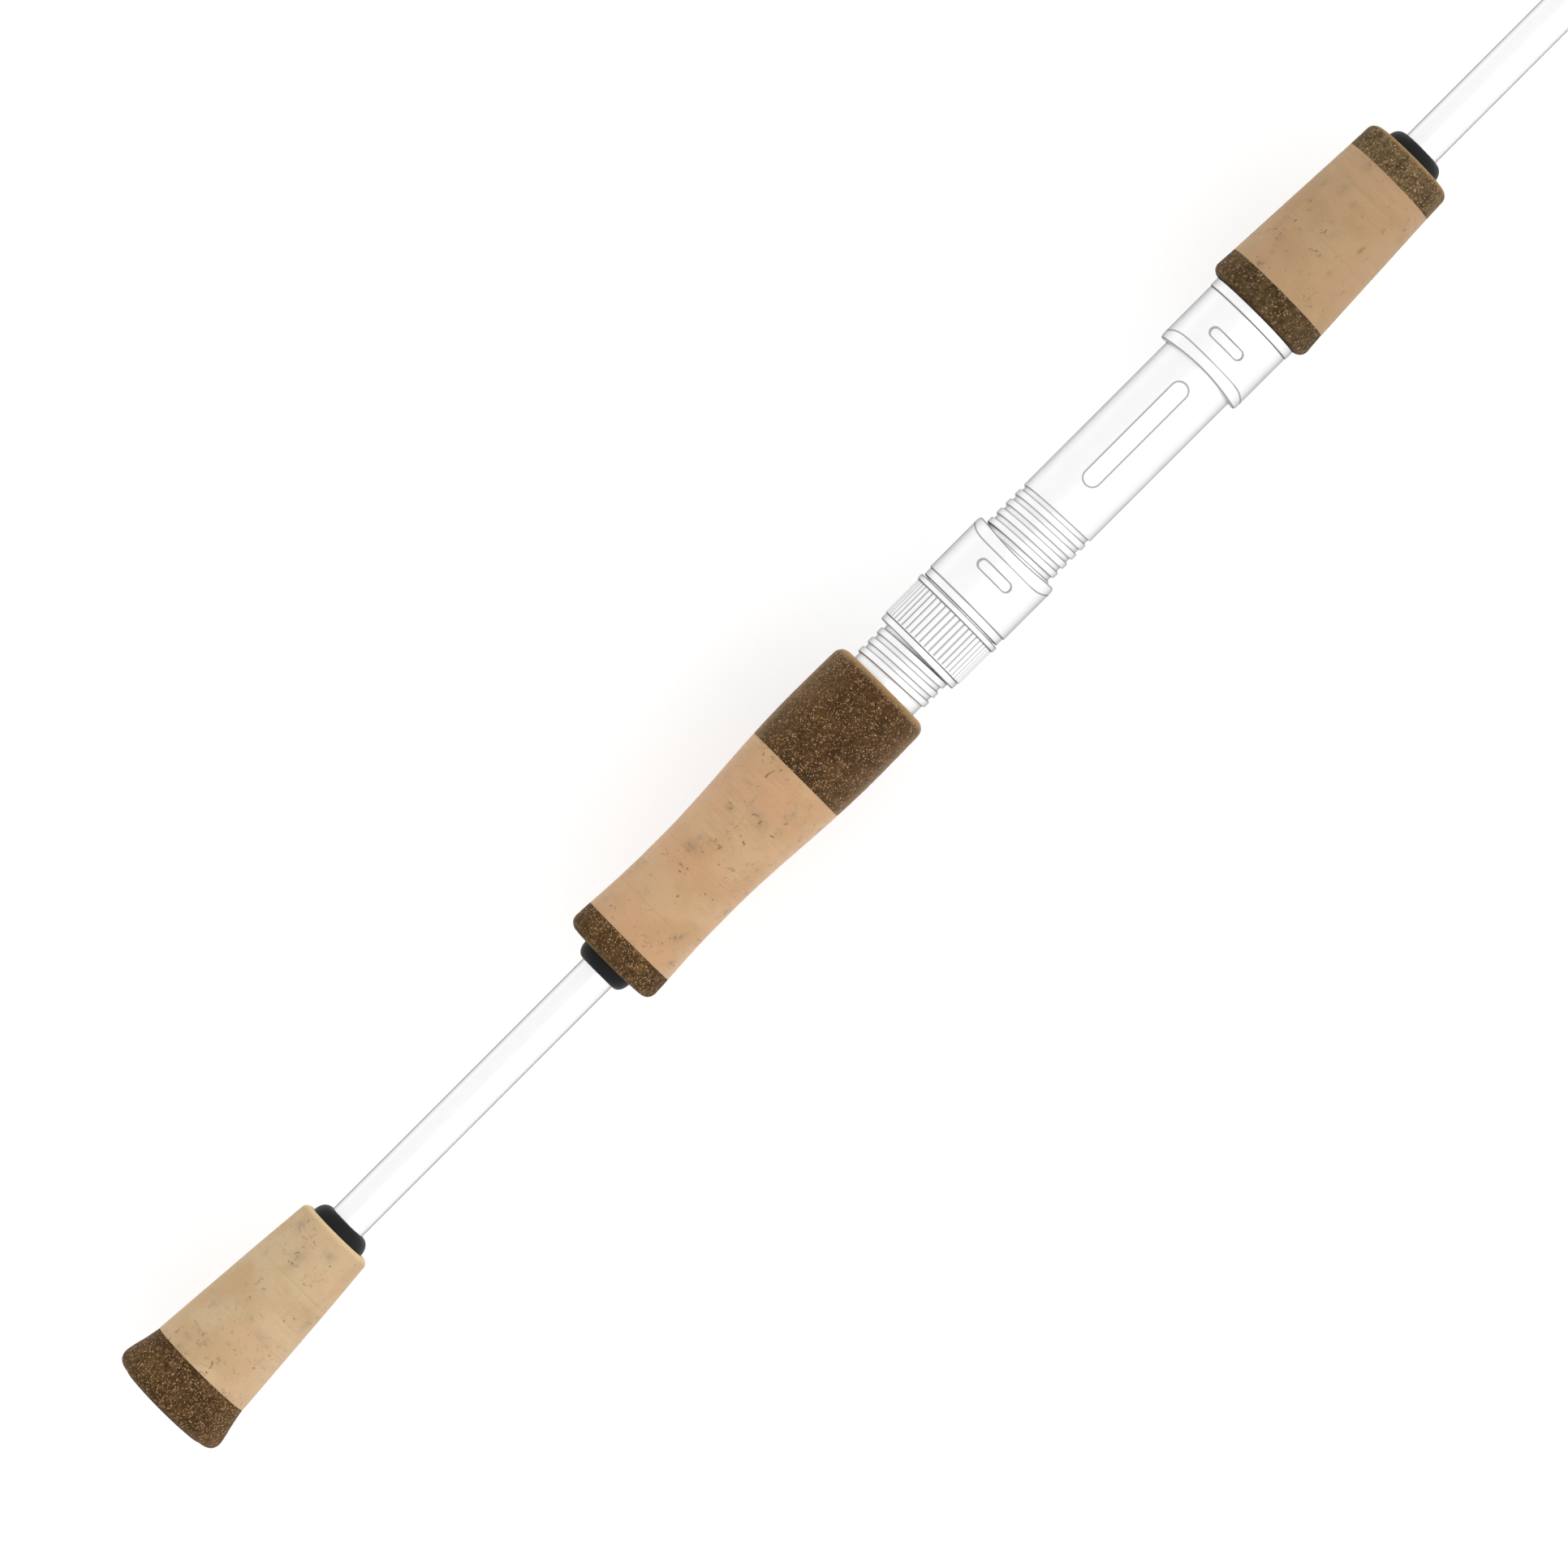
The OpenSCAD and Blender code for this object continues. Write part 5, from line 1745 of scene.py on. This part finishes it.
@dataclass
class Wrap:
    """A coated thread wrap with rounded shoulders, raised over a guide's foot."""

    blank: Blank
    start: float
    end: float
    over: float
    foot: float = 0.0
    foot_width: float = 1.5
    shoulder: float = 1.4
    columns: int = 64

    def surface(self) -> Surface:
        """Radius = blank + thread + foot, the foot's rise being exp(-(arc / width)^2) beneath.

        Returns:
            A closed surface.
        """
        ease = self.shoulder * (1 - np.cos(np.linspace(0, 0.5 * math.pi, 7)))
        middle = np.linspace(self.start + 1.5, self.end - 1.5, 24)
        x = np.concatenate([self.start + ease, middle, self.end - ease[::-1]])[:, None]
        a = angles(self.columns)
        near = np.clip(np.minimum(x - self.start, self.end - x) / self.shoulder, 0.0, 1.0)
        rise = np.sqrt(np.clip(1.0 - (1.0 - near) ** 2, 0.0, 1.0))
        base = self.blank.surface_r(x)
        away = np.abs(np.mod(a - 0.75 * TURN + math.pi, TURN) - math.pi) * (base + 0.4)
        hump = self.foot * np.exp(-((away / self.foot_width) ** 2))
        outer = base + 0.03 + (self.over - 0.03) * rise + hump * rise
        inner = np.repeat(base - 0.01, self.columns, axis=1)
        return around(np.concatenate([x, x[::-1]]), np.concatenate([outer, inner[::-1]]), a)


def ring_section(inner: float, outer: float, width: float) -> np.ndarray:
    """A ring's section as x and radius, going forwards along its plain outside; its inside is
    rounded, with a straight land 1 mm wide.

    Args:
        inner: The inside radius.
        outer: The outside radius.
        width: The width along the rod.

    Returns:
        The section.
    """
    land, h, depth = 1.0, width / 2, (outer - inner) * 0.55
    rear, front = (
        arc(side * land / 2, inner + depth, (width - land) / 2, depth, start, start - 90, 9)
        for side, start in ((-1, 270), (1, 360))
    )
    plain = [[-h, outer - 0.05], [-h + 0.05, outer], [h - 0.05, outer], [h, outer - 0.05]]
    return np.concatenate([plain, front, rear])


def band_section(inner: float, outer: float, h: float) -> np.ndarray:
    """A metal band's section as x and radius, 2 h wide, with bevelled edges outside."""
    return np.array([[-h, inner], [-h, outer - 0.15], [-h + 0.15, outer],
                     [h - 0.15, outer], [h, outer - 0.15], [h, inner]])


@dataclass
class Guide:
    """A line guide: a ceramic ring in a wire frame, whose feet are wrapped to the blank."""

    number: int
    x: float
    size: float
    inside: float
    height: float
    width: float
    reach: float
    foot: float
    blank: Blank
    band: float = 0.45
    foot_height: float = 0.7

    @property
    def double(self) -> bool:
        """Whether the guide has two feet."""
        return self.size > 10

    @property
    def z(self) -> float:
        """Height of the ring's centre."""
        return -(float(self.blank.surface_r(self.x)) + self.height)

    def leg(self, side: float, forward: float) -> Surface:
        """A wire from the ring's band to a foot: a cubic from the band's side, which leaves it
        tangentially and lands along the rod.

        Args:
            side: -1 or 1 for a side leg, 0 for a middle one.
            forward: 1 for a foot towards the tip, -1 towards the butt.

        Returns:
            The leg's surface.
        """
        wire = 0.6 if self.double else 0.42
        r = self.size / 2 - 0.15
        a = math.radians(58.0) * side
        start = np.array([self.x, r * math.sin(a), self.z + r * math.cos(a)])
        top = -(float(self.blank.surface_r(self.x)) + self.foot_height * 0.5)
        end = np.array([self.x + forward * (self.reach + 0.8), side * wire * 0.8, top - 0.12])
        lift = (end[2] - start[2]) * 0.45
        one = start + np.array([forward * self.reach * 0.22, side * 0.25, lift])
        two = end + np.array([-forward * self.reach * 0.42, 0.0, -lift * 0.35])
        t = np.linspace(0, 1, 22)[:, None]
        path = (1 - t) ** 3 * start + 3 * (1 - t) ** 2 * t * one + 3 * (1 - t) * t**2 * two + t**3 * end
        return tube(path, wire)

    def foot_plate(self, forward: float) -> Surface:
        """A foot: a rounded section |y/w|^4 + |z/h|^4 = 1 that narrows and thins to its toe.

        Args:
            forward: 1 for a foot towards the tip, -1 towards the butt.

        Returns:
            The foot's surface.
        """
        rows, columns = 18, 20
        w0 = (2.2 if self.double else 1.5) / 2
        share = np.linspace(0, 1, rows)[:, None]
        x = self.x + forward * (self.reach - 0.6 + share * (self.foot + 0.4))
        w = w0 * (1 - 0.5 * share) * np.clip((1.02 - share) / 0.06, 0.0, 1.0) ** 0.5
        w = w * np.clip((share + 0.02) / 0.08, 0, 1) ** 0.5
        h = (self.foot_height * (1 - share) + 0.2 * share) * np.clip(w / w0, 0.02, 1.0) ** 0.3 / 2
        a = angles(columns)
        across, up = (np.sign(v) * np.abs(v) ** 0.5 for v in (np.cos(a), np.sin(a)))
        z = h * up - (self.blank.surface_r(x) + h)
        points = np.stack(np.broadcast_arrays(x, w * across, z), axis=-1).reshape(-1, 3)
        rim = np.arange(columns)[None]
        made = Surface(points, [grid_faces(rows, columns, False), rim[:, ::-1], rim + (rows - 1) * columns])
        return made if forward > 0 else made.flipped()

    def frame(self) -> Surface:
        """The band round the ring, the legs and the feet.

        Returns:
            The frame as one surface.
        """
        section = band_section(self.size / 2 - self.band, self.size / 2, 0.4 * self.width)
        back = -1.0 if self.double else 1.0
        parts = [self.leg(-1.0, back), self.leg(1.0, back), self.foot_plate(back)]
        if self.double:
            parts += [self.leg(0.0, 1.0), self.foot_plate(1.0)]
        return revolve(section, 96).moved(self.x, 0, self.z).joined(*parts)

    def build(self, wardrobe: Wardrobe) -> None:
        """Makes the frame, the ring and the wraps.

        Args:
            wardrobe: What dresses the pieces.
        """
        name = f"guide_{self.number}"
        section = ring_section(self.inside / 2, self.size / 2 - self.band, self.width)
        ring = revolve(section).moved(self.x, 0, self.z)
        near, far = self.reach + 2.0, self.reach + self.foot + 2.6
        rise, width = (0.58, 1.35) if self.double else (0.5, 1.0)
        spans = [(self.x + near, self.x + far), (self.x - far, self.x - near)][: 2 if self.double else 1]
        wraps = [Wrap(self.blank, *span, 0.26, rise, width).surface() for span in spans]
        wardrobe.dress(self.frame().to_object(f"{name}_wire"), Finish.GUIDE_WIRE, f"{name}_frame")
        wardrobe.dress(ring.to_object(f"{name}_insert"), Finish.GUIDE_CERAMIC, f"{name}_ring")
        thread = wraps[0].joined(*wraps[1:]).to_object(f"{name}_thread")
        wardrobe.dress(thread, Finish.THREAD_WRAP, f"{name}_wraps")


@dataclass
class TipTop:
    """The last guide: a tube over the blank's end that carries a small ring on two braces."""

    blank: Blank
    end: float = 1676.0
    tube_length: float = 11.0
    tube_r: float = 1.48
    ring_z: float = -3.0
    ring_r: float = 3.0
    band: float = 0.45
    inside: float = 3.7
    width: float = 1.6
    wire: float = 0.4

    def brace(self, side: float) -> Surface:
        """A wire from the tube to the ring's band, bowed by 4 t (1 - t).

        Args:
            side: -1 for the right-hand brace, 1 for the left-hand one.

        Returns:
            The brace's surface.
        """
        a = math.radians(100.0)
        start = np.array([self.blank.tip_x - 7.5, side * 1.05, -0.2])
        end_x = self.end - self.width / 2 - 0.2
        end = np.array([end_x, side * 2.75 * math.sin(a), self.ring_z + 2.75 * math.cos(a)])
        t = np.linspace(0, 1, 16)[:, None]
        bow = np.array([0.0, side * 0.35, -0.15])
        return tube(start + (end - start) * t + bow * 4 * t * (1 - t), self.wire)

    def build(self, wardrobe: Wardrobe) -> None:
        """Makes the tube with its braces, the ring and the wrap.

        Args:
            wardrobe: What dresses the pieces.
        """
        tip, centre = self.blank.tip_x, self.end - self.width / 2
        rear, inner = tip - self.tube_length, self.ring_r - self.band
        sleeve = revolve(np.concatenate([
            [[rear, float(self.blank.surface_r(rear))]],
            [[rear, self.tube_r - 0.15], [rear + 0.15, self.tube_r]],
            arc(centre - 0.7, 0.0, 0.7, self.tube_r, 90, 0, 8), [[tip, 0.0], [tip, 0.85]],
        ]), 64)
        hoop = revolve(band_section(inner, self.ring_r, self.width / 2), 72).moved(centre, 0, self.ring_z)
        frame = sleeve.joined(hoop, self.brace(-1.0), self.brace(1.0))
        ring = revolve(ring_section(self.inside / 2, inner, self.width), 96).moved(centre, 0, self.ring_z)
        wrap = Wrap(self.blank, rear - 8.0, rear, 0.26).surface()
        wardrobe.dress(frame.to_object("tip_top_wire"), Finish.GUIDE_WIRE, "tip_top_frame")
        wardrobe.dress(ring.to_object("tip_top_insert"), Finish.GUIDE_CERAMIC, "tip_top_ring")
        wardrobe.dress(wrap.to_object("tip_top_thread"), Finish.THREAD_WRAP, "tip_top_wrap")


# --------------------------------------------------------------------------- studio


@dataclass
class Studio:
    """A plain pale floor, a soft overhead light, an even sky and the camera. Lengths are in metres."""

    look_x: float = 0.1717
    look_y: float = 0.0003
    distance: float = 2.4
    view_width: float = 0.3057
    floor_z: float = -0.0354
    floor_half: float = 60.0
    floor_shade: float = 0.95
    sky: float = 1.08
    sun: float = 0.78
    sun_size: float = 90.0
    sun_lean: tuple[float, float] = (38.0, 28.0)

    def camera(self) -> None:
        """A long lens straight above the handle, turned so that the rod runs to the upper right."""
        data = bpy.data.cameras.new("camera")
        data.sensor_width = 36.0
        data.lens = data.sensor_width * self.distance / self.view_width
        data.clip_start, data.clip_end = 0.05, 100.0
        camera = placed("camera", data)
        camera.location = (self.look_x, self.look_y, self.distance)
        camera.rotation_euler = (0.0, 0.0, -math.pi / 4)
        bpy.context.scene.camera = camera

    def floor(self) -> None:
        """A wide matt floor just under the lowest guide."""
        mesh = bpy.data.meshes.new("floor")
        corners = [(-1, -1), (1, -1), (1, 1), (-1, 1)]
        points = [(self.floor_half * x, self.floor_half * y, self.floor_z) for x, y in corners]
        mesh.from_pydata(points, [], [(0, 1, 2, 3)])
        material = bpy.data.materials.new("floor")
        material.use_nodes = True
        shader = material.node_tree.nodes["Principled BSDF"]
        shader.inputs["Base Color"].default_value = (*3 * [self.floor_shade], 1.0)
        shader.inputs["Roughness"].default_value = 1.0
        shader.inputs["Specular IOR Level"].default_value = 0.0
        mesh.materials.append(material)
        obj = placed("floor", mesh)

    def lights(self) -> None:
        """An even sky, and one broad soft light from overhead that leans to the tip and the right."""
        world = bpy.data.worlds.new("sky")
        bpy.context.scene.world = world
        world.use_nodes = True
        back = world.node_tree.nodes["Background"]
        back.inputs["Color"].default_value = (1.0, 1.0, 1.0, 1.0)
        back.inputs["Strength"].default_value = self.sky
        data = bpy.data.lights.new("soft_light", "SUN")
        data.energy, data.angle = self.sun, math.radians(self.sun_size)
        placed("soft_light", data).rotation_euler = (*map(math.radians, self.sun_lean), 0.0)

    def build(self) -> None:
        """Sets up the whole studio and a plain view transform."""
        bpy.context.scene.view_settings.view_transform = "Standard"
        bpy.context.scene.view_settings.look = "None"
        self.camera()
        self.floor()
        self.lights()
        LOG.info("studio: camera %.3f m above the handle", self.distance)


# --------------------------------------------------------------------------- the rod

GUIDE_TABLE: tuple[tuple[float, ...], ...] = (
    # station, size, inside, height, ring width, reach of the legs, foot length
    (711.0, 20.0, 15.6, 22.0, 2.6, 10.5, 14.0),
    (951.0, 12.0, 8.7, 13.0, 2.0, 7.0, 11.0),
    (1156.0, 8.0, 5.2, 9.0, 1.6, 4.2, 10.0),
    (1321.0, 7.0, 4.6, 8.0, 1.6, 3.8, 9.5),
    (1460.0, 6.0, 3.7, 6.5, 1.5, 3.4, 9.0),
    (1576.0, 6.0, 3.7, 6.5, 1.5, 3.4, 9.0),
)
TRIM_OUTLINE = ((299.2, 8.5), (299.2, 10.1), (299.4, 10.3), (301.15, 10.3), (301.38, 10.1), (301.38, 8.5))
NECK_OUTLINE = (
    (215.2, 8.58), (215.2, 9.15), (216.2, 9.18), (216.25, 9.0), (220.0, 9.0), (220.0, 9.75), (220.15, 9.9),
    (221.8, 9.9), (221.8, 8.58),
)


def build_seat(wardrobe: Wardrobe) -> None:
    """Makes the reel seat: barrel, hoods, trim, neck and nut; the arbors stay as they are.

    Args:
        wardrobe: What dresses the pieces.
    """
    for part in (
        SeatBarrel(),
        Hood("sliding_hood", 235.7, 1, 229.2),
        Hood("front_hood", 285.3, -1, 292.9, (2.5, 8.7), bore=8.5, key_z=7.7),
        SeatRing("front_trim", "front_trim_ring", TRIM_OUTLINE, (299.25, 301.3)),
        SeatRing("hood_neck", "sliding_hood_liner", NECK_OUTLINE, (220.05, 221.75)),
        LockNut(),
    ):
        part.build(wardrobe)
    for node in ("seat_arbor_rear", "seat_arbor_middle", "seat_arbor_front"):
        wardrobe.keep(node, Finish.ARBOR_FOAM)


def main() -> None:
    """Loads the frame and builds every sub-assembly in order."""
    logging.basicConfig(level=logging.INFO, format="%(name)s: %(message)s")
    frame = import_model()
    Studio().build()
    wardrobe = Wardrobe(frame)
    for part in (
        ButtGrip(),
        WindingCheck("butt_winding_check", 48.3, 51.1),
        WindingCheck("rear_winding_check", 122.7, 120.0, base_r=6.0),
        RearGrip(),
        ForeGrip(),
        WindingCheck("fore_winding_check", 344.4, 347.0),
    ):
        part.build(wardrobe)
    build_seat(wardrobe)
    blank = Blank()
    blank.build(wardrobe)
    for number, row in enumerate(GUIDE_TABLE, start=1):
        Guide(number, *row, blank=blank).build(wardrobe)
    TipTop(blank).build(wardrobe)


if __name__ == "__main__":
    main()
